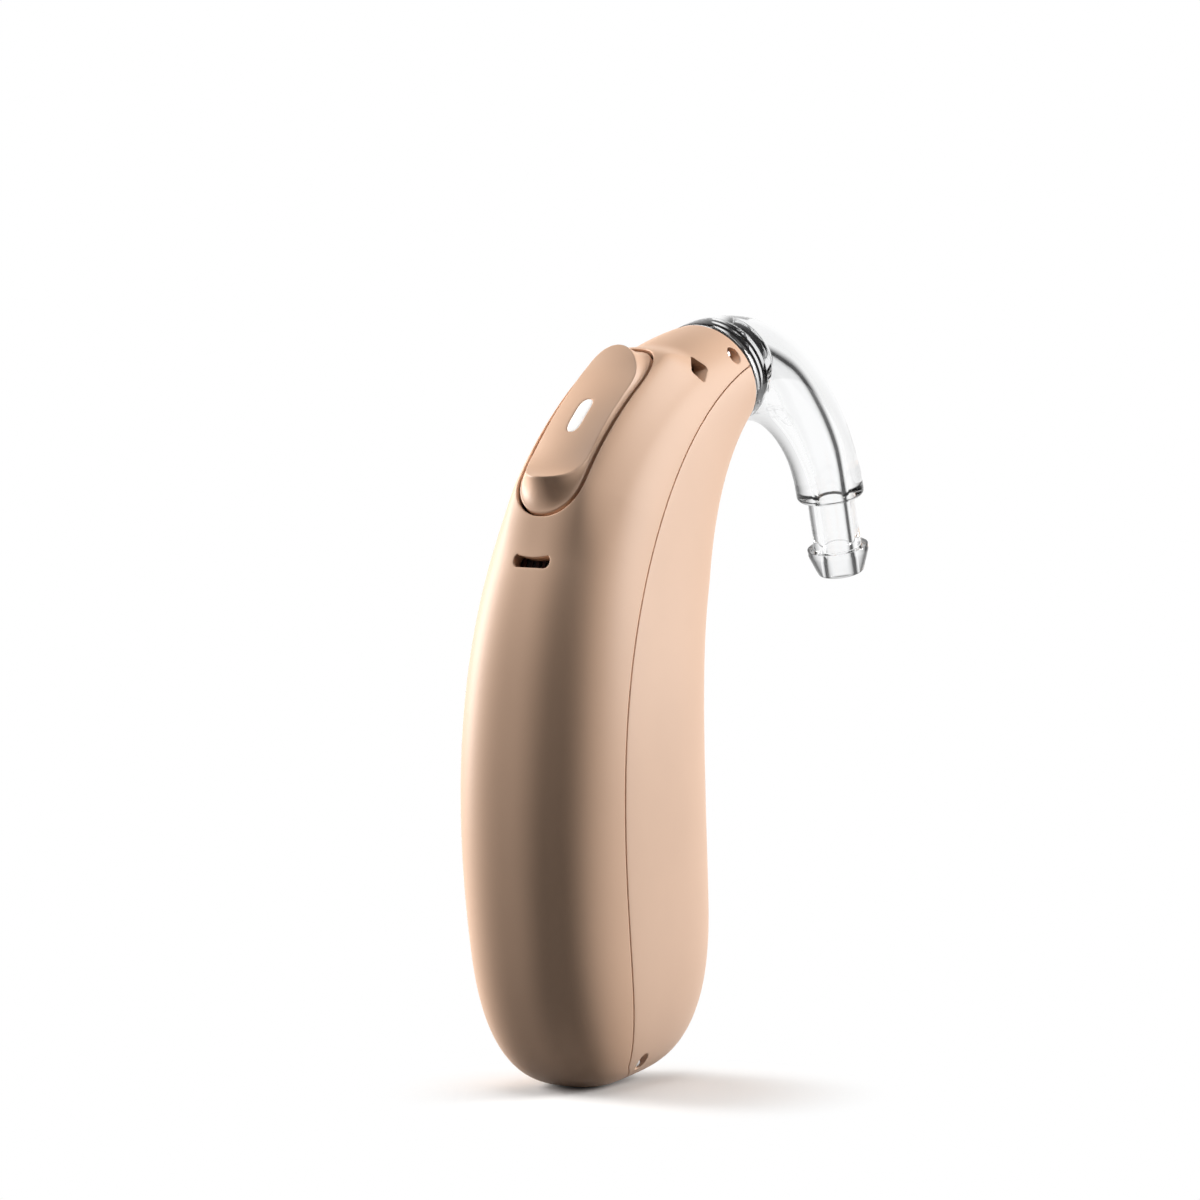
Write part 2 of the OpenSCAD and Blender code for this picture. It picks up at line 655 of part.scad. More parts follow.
module rocker_bracket() {
    color("#9aa0a6") at_rocker() difference() {
        union() {
            block(
                [bracket_top, -bracket_half_w, bracket_low_z],
                [bracket_top + bracket_t, bracket_half_w, bracket_high_z]
            );
            for (side = [-1, 1]) translate([0, side * (ear_inner_y + bracket_half_w) / 2, 0])
                block(
                    [ear_top, -(bracket_half_w - ear_inner_y) / 2, -lug_hub_d * bracket_ear_share],
                    [
                        bracket_top + bracket_t / 2,
                        (bracket_half_w - ear_inner_y) / 2,
                        lug_hub_d * bracket_ear_share
                    ]
                );
        }
        translate([axle_depth, 0, 0]) cross(axle_d + 2 * pin_slip, 2 * bracket_half_w + 2 * overrun);
        // lightening window between the switches, where the indicator's leads pass
        block(
            [bracket_top - overrun, -bracket_half_w * bracket_window_share, -bracket_window_half_l],
            [bracket_top + bracket_t + overrun, bracket_half_w * bracket_window_share, bracket_window_half_l]
        );
    }
}
// A thin ring of silicone that follows the inside of the shell round the opening
seal_rim = 0.4;
seal_t = 0.2;
seal_grow = [rocker_gap + seat, rocker_gap + seal_rim, rocker_gap + seal_rim, rocker_gap + seat];
seal_clear = 0.14; // from the shell's inside
seal_down = [seal_clear, seal_clear, seal_clear + seal_t, seal_clear + seal_t];
module rocker_seal() {
    n = rocker_sides;
    rings = [for (i = [0 : 3]) [
        for (k = [0 : n - 1])
            let (p = rocker_outline(k, seal_grow[i]))
            [shell_depth(p[0], p[1], 1) + seal_down[i], p[1], p[0]]
    ]];
    color("#5a5552") at_rocker() polyhedron(
        points = [for (r = rings) each r],
        faces = [
            for (i = [0 : 3]) for (j = [0 : n - 1])
                let (a = i * n + j, b = i * n + (j + 1) % n)
                let (c = (i + 1) % 4 * n + j, d = (i + 1) % 4 * n + (j + 1) % n)
                each [[a, b, c], [b, d, c]]
        ]
    );
}

module switch_body(side) {
    color("#2e3136") at_rocker() translate([0, 0, side * switch_reach]) difference() {
        block(
            [switch_top, -switch_w / 2, -switch_l / 2],
            [switch_top + switch_h, switch_w / 2, switch_l / 2]
        );
        translate([switch_top - overrun, 0, 0]) rotate([0, 90, 0])
            cylinder(d = plunger_d + 2 * slip, h = overrun + plunger_deep + plunger_travel, $fn = 32);
    }
}
module plunger(side) {
    color("#e8e6df") at_rocker()
        translate([switch_top - plunger_out, 0, side * switch_reach]) rotate([0, 90, 0])
        cylinder(d = plunger_d, h = plunger_out + plunger_deep, $fn = 32);
}
module upper_switch() { switch_body(1); }
module lower_switch() { switch_body(-1); }
module upper_plunger() { plunger(1); }
module lower_plunger() { plunger(-1); }

// The light under the window, on a post from the bracket
led_t = 0.35;
led_w = 1.0;
led_l = 0.8;
led_post_w = 0.6;
led_below = 1.05; // the axle
led_gap = 0.2; // under the light guide
module indicator_led() {
    top = window_foot + led_gap;
    color("#f2f0dc") at_rocker() translate([0, 0, -led_below]) union() {
        block([top, -led_w / 2, -led_l / 2], [top + led_t, led_w / 2, led_l / 2]);
        block(
            [top + led_t / 2, -led_post_w / 2, -led_post_w / 2],
            [bracket_top + bracket_t, led_post_w / 2, led_post_w / 2]
        );
    }
}

// Sound inlets
inlet_round_share = 0.42; // of the slot's height
inlet_sag = 0.17; // how far its upper side hangs down in the middle
inlet_sag_r = (inlet_l * inlet_l / 4 + inlet_sag * inlet_sag) / (2 * inlet_sag);
module rear_slot() {
    at_length(inlet_s) translate([-half_depth(inlet_s / housing_l) - overrun, 0, 0]) rotate([0, 90, 0])
        linear_extrude(height = wall + 2 * overrun) rotate(90) difference() {
            rounded(inlet_l, inlet_h, inlet_h * inlet_round_share);
            translate([0, inlet_h / 2 - inlet_sag + inlet_sag_r]) circle(r = inlet_sag_r, $fn = 64);
        }
}
port_below = 3.55; // the rim, along the middle line
port_off = 2.75; // the middle line, towards the spine
port_s = housing_l - port_below;
port_depth = -port_off;
port_turn = -11; // turn of the port against the middle line, in degrees
port_round = 0.17; // radius of its corners
module front_ports() {
    at_length(port_s) translate([port_depth, 0, 0]) rotate([0, port_turn, 0]) rotate([90, 0, 0])
        linear_extrude(height = neck_t + 2 * overrun, center = true) rounded(port_w, port_l, port_round);
}

// Microphones, gaskets and screens
rear_face = half_depth(inlet_s / housing_l) - wall; // inside of the spine at the slot
screen_t = 0.1;
screen_clear = 0.2; // from the curved wall
gasket_t = 0.5;
mic_h = 1.0;
mic_l = 2.0;
mic_w = 3.2;
screen_bars = 5;
screen_w_share = 1.24; // of the inlet's length
screen_h_share = 1.5; // of its height
bar_pitch_share = 0.9;
bar_gap_share = 0.1;
gasket_bore_share = 1.1;
mic_bore_share = 0.5;
module rear_mic_screen() {
    color("#1c1c1e") at_length(inlet_s) translate([-rear_face + screen_clear, 0, 0]) difference() {
        block(
            [0, -inlet_l * screen_w_share / 2, -inlet_h * screen_h_share / 2],
            [screen_t, inlet_l * screen_w_share / 2, inlet_h * screen_h_share / 2]
        );
        for (i = [0 : screen_bars - 1])
            translate([0, inlet_l * bar_pitch_share * ((i + 0.5) / screen_bars - 0.5), 0])
                block(
                    [-overrun, -inlet_l * bar_gap_share / 2, -inlet_h / 2],
                    [screen_t + overrun, inlet_l * bar_gap_share / 2, inlet_h / 2]
                );
    }
}
module rear_mic_gasket() {
    x = -rear_face + screen_clear + screen_t + pin_slip;
    color("#4a4644") at_length(inlet_s) difference() {
        block([x, -mic_w / 2, -mic_l / 2], [x + gasket_t, mic_w / 2, mic_l / 2]);
        translate([x - overrun, 0, 0]) rotate([0, 90, 0])
            cylinder(d = inlet_h * gasket_bore_share, h = gasket_t + 2 * overrun, $fn = 32);
    }
}
rear_mic_x = -rear_face + screen_clear + screen_t + gasket_t + 2 * pin_slip;
module rear_microphone() {
    color("#b9a35c") at_length(inlet_s) difference() {
        block([rear_mic_x, -mic_w / 2, -mic_l / 2], [rear_mic_x + mic_h, mic_w / 2, mic_l / 2]);
        translate([rear_mic_x - overrun, 0, 0]) rotate([0, 90, 0])
            cylinder(d = inlet_h * mic_bore_share, h = overrun + mic_h / 3, $fn = 24);
    }
}
front_mic_below = 3.6; // the rim
front_mic_off = 2.2; // the middle line, towards the spine
front_mic_h = 1.1;
front_mic_w = 2.1;
front_mic_l = 1.6;
front_mic_s = housing_l - front_mic_below;
front_mic_depth = -front_mic_off;
front_mic_half = [front_mic_h, front_mic_w, front_mic_l] / 2;
front_corner_r = 0.3;
front_bore_d = 0.5;
front_bore_off = 0.2;
front_screen_w = 1.1;
front_screen_l = 1.4;
front_screen_r = 0.25;
front_bar_w = 0.14;
front_bar_l = 0.9;
front_bar_pitch = 0.28;
module front_microphone() {
    color("#b9a35c") at_length(front_mic_s) translate([front_mic_depth, 0, 0])
        block(-front_mic_half, front_mic_half);
}
front_gasket_t = 0.35;
bar_round_share = 0.43;
module front_mic_gasket() {
    color("#4a4644") at_length(front_mic_s) translate([front_mic_depth, 0, 0])
        for (side = [-1, 1]) difference() {
            translate([0, side * (front_mic_half.y + pin_slip + front_gasket_t / 2), 0])
                slab(2 * front_mic_half.x, 2 * front_mic_half.z, front_gasket_t, front_corner_r);
            translate([-front_bore_off, side * (front_mic_half.y + front_gasket_t / 2), 0])
                cross(front_bore_d, front_gasket_t + 2 * overrun);
        }
}
module front_mic_screens() {
    y = front_mic_half.y + 2 * pin_slip + front_gasket_t;
    color("#1c1c1e") at_length(front_mic_s) translate([front_mic_depth, 0, 0])
        for (side = [-1, 1]) difference() {
            translate([0, side * (y + screen_t / 2), 0])
                slab(front_screen_w, front_screen_l, screen_t, front_screen_r);
            for (x = [-1, 0, 1]) translate([x * front_bar_pitch, side * (y + screen_t / 2), 0])
                slab(front_bar_w, front_bar_l, screen_t + 2 * overrun, front_bar_w * bar_round_share);
        }
}

// Receiver, its boot and the tube to the nozzle
receiver_depth = 1.65;
receiver_corner_r = 0.5;
outlet_bore_share = 0.6;
outlet_sink = 0.2;
outlet_d = 1.2;
outlet_l = 0.9;
tube_d = 1.9;
tube_bore_d = outlet_d + 4 * slip;
module receiver() {
    color("#a9adb3") at_length(receiver_s) translate([receiver_depth, 0, 0]) difference() {
        union() {
            rotate([0, 0, 90]) linear_extrude(height = receiver_l, center = true)
                rounded(receiver_w, receiver_h, receiver_corner_r);
            cylinder(d = outlet_d, h = receiver_l / 2 + outlet_l, $fn = 32);
        }
        translate([0, 0, receiver_l / 2 - outlet_sink])
            cylinder(d = outlet_d * outlet_bore_share, h = outlet_l + 2 * overrun, $fn = 24);
    }
}
module receiver_boot() {
    inner = pin_slip;
    color("#6a6460") at_length(receiver_s) translate([receiver_depth, 0, 0]) difference() {
        rotate([0, 0, 90]) linear_extrude(height = receiver_l + 2 * boot_t, center = true)
            rounded(receiver_w + 2 * boot_t, receiver_h + 2 * boot_t, receiver_corner_r + boot_t);
        rotate([0, 0, 90]) linear_extrude(height = receiver_l + 2 * inner, center = true)
            rounded(receiver_w + 2 * inner, receiver_h + 2 * inner, receiver_corner_r);
        cylinder(d = outlet_d + 2 * slip, h = receiver_l, $fn = 32);
    }
}
// The tube bends from the receiver's outlet to the nozzle's stub
tube_steps = 10;
tube_sides = 16;
receiver_lean = housing_lean(receiver_s / housing_l);
tube_low = flat(spot(receiver_s / housing_l, receiver_depth, 0))
    + (receiver_l / 2 + boot_t + pin_slip) * heading(receiver_lean);
tube_high = flat(spot(1, 0, 0)) - (stub_l + pin_slip) * heading(rim_lean);
tube_pull = norm(tube_high - tube_low);
function flat(p) = [p.x, p.z];
function tube_middle(t) =
    (2 * t * t * t - 3 * t * t + 1) * tube_low + (t * t * t - 2 * t * t + t) * tube_pull * heading(receiver_lean)
    + (3 * t * t - 2 * t * t * t) * tube_high + (t * t * t - t * t) * tube_pull * heading(rim_lean);
function tube_way(t) =
    (6 * t * t - 6 * t) * (tube_low - tube_high)
    + ((3 * t * t - 4 * t + 1) * heading(receiver_lean) + (3 * t * t - 2 * t) * heading(rim_lean)) * tube_pull;
function tube_ring(t, r) =
    let (c = tube_middle(t), w = tube_way(t) / norm(tube_way(t)))
    [for (k = [0 : tube_sides - 1])
        let (g = 360 * (k + 0.5) / tube_sides)
        [c[0] + r * cos(g) * w[1], r * sin(g), c[1] - r * cos(g) * w[0]]];
module sound_tube() {
    n = tube_sides;
    steps = tube_steps;
    rings = concat(
        [for (i = [0 : steps]) tube_ring(i / steps, tube_d / 2)],
        [for (i = [0 : steps]) tube_ring(1 - i / steps, tube_bore_d / 2)]
    );
    count = len(rings);
    color("#d8d4cc") polyhedron(
        points = [for (r = rings) each r],
        faces = [
            for (i = [0 : count - 1]) for (j = [0 : n - 1])
                let (a = i * n + j, b = i * n + (j + 1) % n)
                let (c = (i + 1) % count * n + j, d = (i + 1) % count * n + (j + 1) % n)
                each [[a, c, b], [b, c, d]]
        ]
    );
}

// Nozzle: stub in the housing, ridges and spout outside, bored through
stub_gap = 0.08; // round the stub, inside the housing
stub_lead = 0.15;
stub_d = rim_d - 2 * wall - 2 * stub_gap;
ridge_deep = 0.14;
ridge_steps = [[0, 1], [0.35, 1], [0.5, 0], [0.85, 0], [1, 1]]; // share of the pitch, share of the depth
root_gap = 0.03;
spout_lead = 0.25;
function ridge_at(z) = mix(ridge_d, ridge_end_d, z / ridge_l) / 2;
module nozzle() {
    pitch = (ridge_l - root_gap) / ridge_count;
    ridges = [
        for (i = [0 : ridge_count - 1])
            let (z = root_gap + i * pitch)
            each [for (v = ridge_steps) [ridge_at(z + pitch * v[0]) - ridge_deep * v[1], z + pitch * v[0]]]
    ];
    profile = concat(
        [
            [nozzle_bore_d / 2, -stub_l], [stub_d / 2 - stub_lead, -stub_l],
            [stub_d / 2, -stub_l + stub_lead], [stub_d / 2, root_gap]
        ],
        ridges,
        [
            [ridge_end_d / 2 - 2 * ridge_deep, ridge_l + seat],
            [spout_d / 2, ridge_l + seat],
            [spout_d / 2, ridge_l + spout_l - spout_lead],
            [spout_d / 2 - spout_lead / 2, ridge_l + spout_l],
            [nozzle_bore_d / 2, ridge_l + spout_l]
        ]
    );
    color("#17181a") difference() {
        at_share(1) rotate_extrude($fn = 96) polygon(profile);
        at_length(upper_pin_s) translate([upper_pin_depth, 0, 0]) {
            cross(pin_d + 2 * slip, rim_d + 2 * overrun);
            block(
                [-rim_d / 2, -rim_d / 2 - overrun, -pin_d / 2 - slip],
                [0, rim_d / 2 + overrun, pin_d / 2 + slip]
            );
        }
    }
}
module upper_pin() {
    color("#dfe2e6") pin(upper_pin_s, upper_pin_depth, upper_pin_l);
}
module lower_pin() {
    color("#dfe2e6") pin(lower_pin_s, lower_pin_depth, lower_pin_l);
}
gasket_z = ridge_l + seat + slip;
hook_gasket_t = 0.22;
module hook_gasket() {
    color("#3b3d40") at_share(1) translate([0, 0, gasket_z]) difference() {
        cylinder(d = ridge_end_d - 4 * ridge_deep, h = hook_gasket_t, $fn = 64);
        translate([0, 0, -overrun])
            cylinder(d = spout_d + 4 * slip, h = hook_gasket_t + 2 * overrun, $fn = 48);
    }
}

// Ear hook
socket_l = gasket_z + hook_gasket_t + slip;
cone_room = 0.15; // past the spout's end
cone_l = ridge_l + spout_l + cone_room;
hook_bore_start_share = 0.13;
bore_grow = 0.04; // of the body's bore over the tip's
function tube_rings(t0, t1, count, sides, widths) = [
    for (i = [0 : count])
        let (t = mix(t0, t1, i / count), r = widths[i])
        [for (k = [0 : sides - 1])
            let (g = 360 * (k + 0.5) / sides)
            hook_spot(t, r * cos(g), r * sin(g))]
];
module tube_solid(rings, sides) {
    last = (len(rings) - 1) * sides;
    polyhedron(
        points = [for (r = rings) each r],
        faces = concat(
            [for (i = [0 : len(rings) - 2]) each band(i, sides)],
            [for (j = [1 : sides - 2]) [0, j, j + 1]],
            [for (j = [1 : sides - 2]) [last, last + j + 1, last + j]]
        )
    );
}
stem_sink = 0.6; // how far the stem's root starts inside the body
barb_land = 0.3;
tip_round = 0.12;
module at_tip() {
    translate(hook_spot(1, 0, 0)) rotate([0, tip_lean, 0]) children();
}
module earhook() {
    start = hook_clear / hook_body_l;
    outer = [for (i = [0 : hook_rings]) hook_r(mix(start, 1, i / hook_rings))];
    bore = [for (i = [0 : hook_rings]) tip_bore_d / 2 + bore_grow];
    color("#e9eff2", 0.45) difference() {
        union() {
            tube_solid(tube_rings(start, 1, hook_rings, hook_sides, outer), hook_sides);
            at_tip() rotate_extrude($fn = 96) polygon([
                [0, -stem_sink],
                [stem_d / 2, -stem_sink],
                [stem_d / 2, tip_l - barb_l],
                [barb_d / 2, tip_l - barb_l],
                [barb_d / 2, tip_l - barb_l + barb_land],
                [tip_end_d / 2 + tip_round / 2, tip_l - tip_round],
                [tip_end_d / 2 - tip_round, tip_l],
                [0, tip_l]
            ]);
        }
        at_share(1) {
            translate([0, 0, -overrun])
                cylinder(
                    r1 = ridge_at(-overrun) + slip, r2 = ridge_at(socket_l) + slip,
                    h = overrun + socket_l, $fn = 64
                );
            cylinder(d = spout_d + 4 * slip, h = cone_l, $fn = 48);
        }
        tube_solid(tube_rings(hook_bore_start_share, 1, hook_rings, bore_sides, bore), bore_sides);
        at_tip() translate([0, 0, -stem_sink / 2]) cylinder(d = tip_bore_d, h = tip_l + stem_sink, $fn = 48);
    }
}

// Power
cell_rim = 0.35;
cell_step_shares = [1.6, 0.8, 0.4]; // of the rim: the steps at the cell's cap
module rechargeable_cell() {
    r = cell_d / 2;
    h = cell_t / 2;
    color("#b7bcc2") at_length(cell_s) rotate([90, 0, 0]) rotate_extrude($fn = 96) polygon([
        [0, -h],
        [r - cell_rim, -h],
        [r, -h + cell_rim],
        [r, h - cell_rim * cell_step_shares[0]],
        [r - cell_rim, h - cell_rim * cell_step_shares[1]],
        [r - 2 * cell_rim, h - cell_rim * cell_step_shares[2]],
        [r - 2 * cell_rim, h],
        [0, h]
    ]);
}
clip_t = 0.22;
clip_share = 0.62;
clip_hole_share = 0.55;
clip_d = clip_share * cell_d;
clip_w = 2.6;
module cell_clip() {
    color("#d0b46a") at_length(cell_s) difference() {
        union() {
            for (side = [-1, 1]) translate([0, side * (cell_t / 2 + pin_slip + clip_t / 2), 0]) {
                cross(clip_d, clip_t);
                block([-clip_w / 2, -clip_t / 2, 0], [clip_w / 2, clip_t / 2, cell_d / 2 + seat + clip_t]);
            }
            block(
                [-clip_w / 2, -cell_t / 2 - pin_slip - clip_t, cell_d / 2 + seat],
                [clip_w / 2, cell_t / 2 + pin_slip + clip_t, cell_d / 2 + seat + clip_t]
            );
        }
        for (side = [-1, 1]) translate([0, side * (cell_t / 2 + clip_t), 0])
            cross(clip_d * clip_hole_share, 4 * clip_t);
    }
}
contact_low_in = 0.2; // from the cell's lower end
contact_high_in = 0.7; // from its upper end
contact_places = [cell_s - cell_d / 2 + contact_low_in, cell_s + cell_d / 2 - contact_high_in];
contact_sink = 0.04; // of a contact's face below the shell's
contact_d = 1.4;
contact_in = 0.35; // how far a contact reaches past the wall's inside
module at_contact(s) {
    at_length(s) translate([half_depth(s / housing_l) * round_off(s / housing_l), 0, 0]) rotate([0, 90, 0])
        children();
}
module contact_bore(s) {
    at_contact(s) translate([0, 0, -wall - overrun - foot_wall / 2])
        cylinder(d = contact_d + 2 * pin_slip, h = wall + 2 * overrun + foot_wall / 2, $fn = 48);
}
module charge_contacts() {
    color("#d8b56a") for (s = contact_places) at_contact(s)
        translate([0, 0, -wall - contact_in])
            cylinder(d = contact_d, h = wall + contact_in - contact_sink, $fn = 48);
}
lead_t = 0.15;
lead_w = 0.8;
lead_l = 1.5;
module charge_leads() {
    color("#c98b4e") for (s = contact_places) at_contact(s) {
        side = s < cell_s ? -1 : 1;
        top = -wall - contact_in - pin_slip;
        bend = -side * lead_w / 2;
        block([-lead_w / 2, -lead_w / 2, top - lead_t], [lead_w / 2, lead_w / 2, top]);
        block(
            [bend - lead_t / 2, -lead_w / 2, top - lead_l],
            [bend + lead_t / 2, lead_w / 2, top - lead_t / 2]
        );
    }
}

// Electronics
board_s = 19.3;
board_l = 7.0;
board_w = 4.8;
board_t = 0.45;
board_off = 4.35; // the middle line, towards the spine
board_depth = -board_off;
board_hole_d = 0.5;
module main_board() {
    color("#2f6b46") at_length(board_s) difference() {
        block([board_depth, -board_w / 2, -board_l / 2], [board_depth + board_t, board_w / 2, board_l / 2]);
        for (y = [-1, 1])
            translate([board_depth - overrun, y * (board_w / 2 - board_hole_d), board_l / 2 - board_hole_d])
            rotate([0, 90, 0])
            cylinder(d = board_hole_d, h = board_t + 2 * overrun, $fn = 24);
    }
}
module chip(z, l, w, h) {
    low = board_depth + board_t + pin_slip;
    at_length(board_s) block([low, -w / 2, z - l / 2], [low + h, w / 2, z + l / 2]);
}
dsp_below = 0.9; // the board's middle
dsp_l = 3.6;
dsp_w = 3.8;
dsp_h = 0.9;
radio_above = 2.2;
radio_l = 1.9;
radio_w = 2.4;
radio_h = 0.7;
power_below = 1.4;
power_l = 2.0;
power_w = 2.2;
power_h = 0.48;
module signal_processor() {
    color("#26282c") chip(-dsp_below, dsp_l, dsp_w, dsp_h);
}
module radio_chip() {
    color("#34373c") chip(radio_above, radio_l, radio_w, radio_h);
}
module power_chip() {
    // on the board's other face, towards the spine
    color("#3c3f44") at_length(board_s) block(
        [board_depth - pin_slip - power_h, -power_w / 2, -power_below - power_l / 2],
        [board_depth - pin_slip, power_w / 2, -power_below + power_l / 2]
    );
}
antenna_t = 0.12;
antenna_l = 6.4;
antenna_h = 5.6;
antenna_band = 0.8;
antenna_s = 19.6;
antenna_depth = 0.9;
antenna_gap = 0.55; // to the shell's inside
antenna_corner_r = 0.9;
antenna_inner_r = 0.4;
antenna_feed = 0.6; // width of the break in the loop
module antenna() {
    y = belly_t / 2 - wall - antenna_gap;
    color("#c07a45") at_length(antenna_s) translate([antenna_depth, y, 0]) difference() {
        slab(antenna_h, antenna_l, antenna_t, antenna_corner_r);
        slab(
            antenna_h - 2 * antenna_band, antenna_l - 2 * antenna_band,
            antenna_t + 2 * overrun, antenna_inner_r
        );
        block(
            [-antenna_h, -overrun, -antenna_feed / 2],
            [-antenna_h / 2 + 2 * antenna_band, overrun, antenna_feed / 2]
        );
    }
}
telecoil_d = 1.7;
telecoil_l = 2.5;
telecoil_s = 18.25;
telecoil_depth = 1.7;
telecoil_rim = 0.25; // of its end flanges over the coil
telecoil_rim_t = 0.3;
module telecoil() {
    color("#8a4b2c") at_length(telecoil_s) translate([telecoil_depth, 0, 0]) union() {
        cylinder(d = telecoil_d, h = telecoil_l, center = true, $fn = 48);
        for (side = [-1, 1]) translate([0, 0, side * telecoil_l / 2])
            cylinder(d = telecoil_d + 2 * telecoil_rim, h = telecoil_rim_t, center = true, $fn = 48);
    }
}

// Chassis: a plate along the middle with a pocket for each piece that it carries
chassis_t = 1.8;
chassis_low_s = cell_s + cell_d / 2 + 2 * seat + clip_t + pocket;
chassis_room = 0.3; // to the shells' inside
chassis_high_gap = 5.0; // below the rim
chassis_high_s = housing_l - chassis_high_gap;
chassis_inset = wall + chassis_room;
chassis_steps = 14;
module chassis_outline() {
    shares = [for (i = [0 : chassis_steps]) mix(chassis_low_s, chassis_high_s, i / chassis_steps) / housing_l];
    spine = [for (u = shares) spot(u, -half_depth(u) + chassis_inset, 0)];
    ear = [for (u = shares) spot(u, half_depth(u) - chassis_inset, 0)];
    polygon(concat([for (p = spine) [p.x, p.z]], [for (i = [chassis_steps : -1 : 0]) [ear[i].x, ear[i].z]]));
}
bar_half_w = 2.9;
bar_half_l = 2.4;
bar_t = 0.7;
chip_room = 0.1; // in front of the tallest chip
back_room = 0.7; // behind the board
module tube_channel() {
    steps = tube_steps;
    tube_solid([for (i = [-1 : steps + 1]) tube_ring(i / steps, tube_d / 2 + pocket)], tube_sides);
}
module chassis() {
    bar = chassis_low_s;
    color("#3f4246") difference() {
        union() {
            rotate([90, 0, 0]) linear_extrude(height = chassis_t, center = true) chassis_outline();
            at_length(bar) block([-bar_half_l, -bar_half_w, seat], [bar_half_l, bar_half_w, seat + bar_t]);
        }
        // board and its chips
        at_length(board_s) block(
            [board_depth - back_room, -chassis_t, -board_l / 2 - pocket],
            [board_depth + board_t + dsp_h + chip_room + pocket, chassis_t, board_l / 2 + pocket]
        );
        // telecoil
        at_length(telecoil_s) translate([telecoil_depth, 0, 0])
            cylinder(
                d = telecoil_d + 2 * telecoil_rim + 2 * pocket,
                h = telecoil_l + telecoil_rim_t + 2 * pocket,
                center = true,
                $fn = 48
            );
        // receiver in its boot
        at_length(receiver_s) translate([receiver_depth, 0, 0]) block(
            [-receiver_h / 2 - boot_t - pocket, -chassis_t, -receiver_l / 2 - boot_t - pocket],
            [receiver_h / 2 + boot_t + pocket, chassis_t, receiver_l / 2 + boot_t + pocket]
        );
        tube_channel();
        // rear microphone with its gasket and screen
        at_length(inlet_s) block(
            [-half_depth(inlet_s / housing_l), -chassis_t, -mic_l / 2 - pocket],
            [rear_mic_x + mic_h + pocket, chassis_t, mic_l / 2 + pocket]
        );
        // rocker bracket, switches and everything above them
        at_rocker() {
            block(
                [-overrun, -chassis_t, bracket_low_z - pocket],
                [bracket_top + bracket_t, chassis_t, bracket_high_z + chassis_t]
            );
            block(
                [-overrun, -chassis_t, rocker_middle - rocker_l / 2 - rocker_gap - 2 * seal_rim],
                [rocker_deep + seal_rim, chassis_t, 0]
            );
        }
        // front microphone
        at_length(front_mic_s) translate([front_mic_depth, 0, 0])
            block(-front_mic_half - [pocket, 0, pocket], front_mic_half + [pocket, 0, pocket]);
    }
}

outer_shell();
inner_shell();
shell_seal();
rocker_button();
light_guide();
rocker_axle();
rocker_bracket();
rocker_seal();
upper_switch();
lower_switch();
upper_plunger();
lower_plunger();
indicator_led();
chassis();
main_board();
signal_processor();
radio_chip();
power_chip();
antenna();
telecoil();
front_microphone();
front_mic_gasket();
front_mic_screens();
rear_microphone();
rear_mic_gasket();
rear_mic_screen();
receiver();
receiver_boot();
sound_tube();
nozzle();
upper_pin();
lower_pin();
hook_gasket();
earhook();
rechargeable_cell();
cell_clip();
charge_contacts();
charge_leads();
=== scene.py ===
import math

import bmesh
import bpy
import numpy as np
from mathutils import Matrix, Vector
from mathutils.geometry import delaunay_2d_cdt


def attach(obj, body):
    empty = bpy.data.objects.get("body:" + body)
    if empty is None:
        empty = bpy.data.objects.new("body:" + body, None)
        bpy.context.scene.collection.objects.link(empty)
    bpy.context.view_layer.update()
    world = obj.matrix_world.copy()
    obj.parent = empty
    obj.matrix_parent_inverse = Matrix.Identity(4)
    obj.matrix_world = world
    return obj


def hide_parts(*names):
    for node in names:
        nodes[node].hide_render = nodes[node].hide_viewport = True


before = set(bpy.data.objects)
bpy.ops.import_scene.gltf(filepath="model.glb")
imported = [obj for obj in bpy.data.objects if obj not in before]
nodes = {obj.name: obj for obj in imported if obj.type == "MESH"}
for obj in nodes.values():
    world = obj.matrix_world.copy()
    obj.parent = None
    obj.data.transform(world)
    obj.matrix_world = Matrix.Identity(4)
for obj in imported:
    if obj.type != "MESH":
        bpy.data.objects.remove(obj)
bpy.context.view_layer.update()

MM = 0.001
MERGE = 1e-6  # points closer than this, in metres, become one

# Camera of the main picture
TARGET = Vector((-8.029, 0.0, 24.215)) * MM
AZIMUTH = math.radians(-57)
ELEVATION = math.radians(5)
DISTANCE = 350 * MM
BACK = Vector((
    math.sin(AZIMUTH) * math.cos(ELEVATION),
    -math.cos(AZIMUTH) * math.cos(ELEVATION),
    math.sin(ELEVATION),
))
RIGHT = Vector((math.cos(AZIMUTH), math.sin(AZIMUTH), 0))
UP = Vector((0, 0, 1))


def camera():
    data = bpy.data.cameras.new("camera")
    data.sensor_width = 36
    data.lens = 210
    data.clip_start = 0.01
    data.clip_end = 10
    cam = bpy.data.objects.new("camera", data)
    bpy.context.scene.collection.objects.link(cam)
    cam.location = TARGET + BACK * DISTANCE
    cam.rotation_mode = "QUATERNION"
    cam.rotation_quaternion = (-BACK).to_track_quat("-Z", "Y")
    bpy.context.scene.camera = cam


camera()

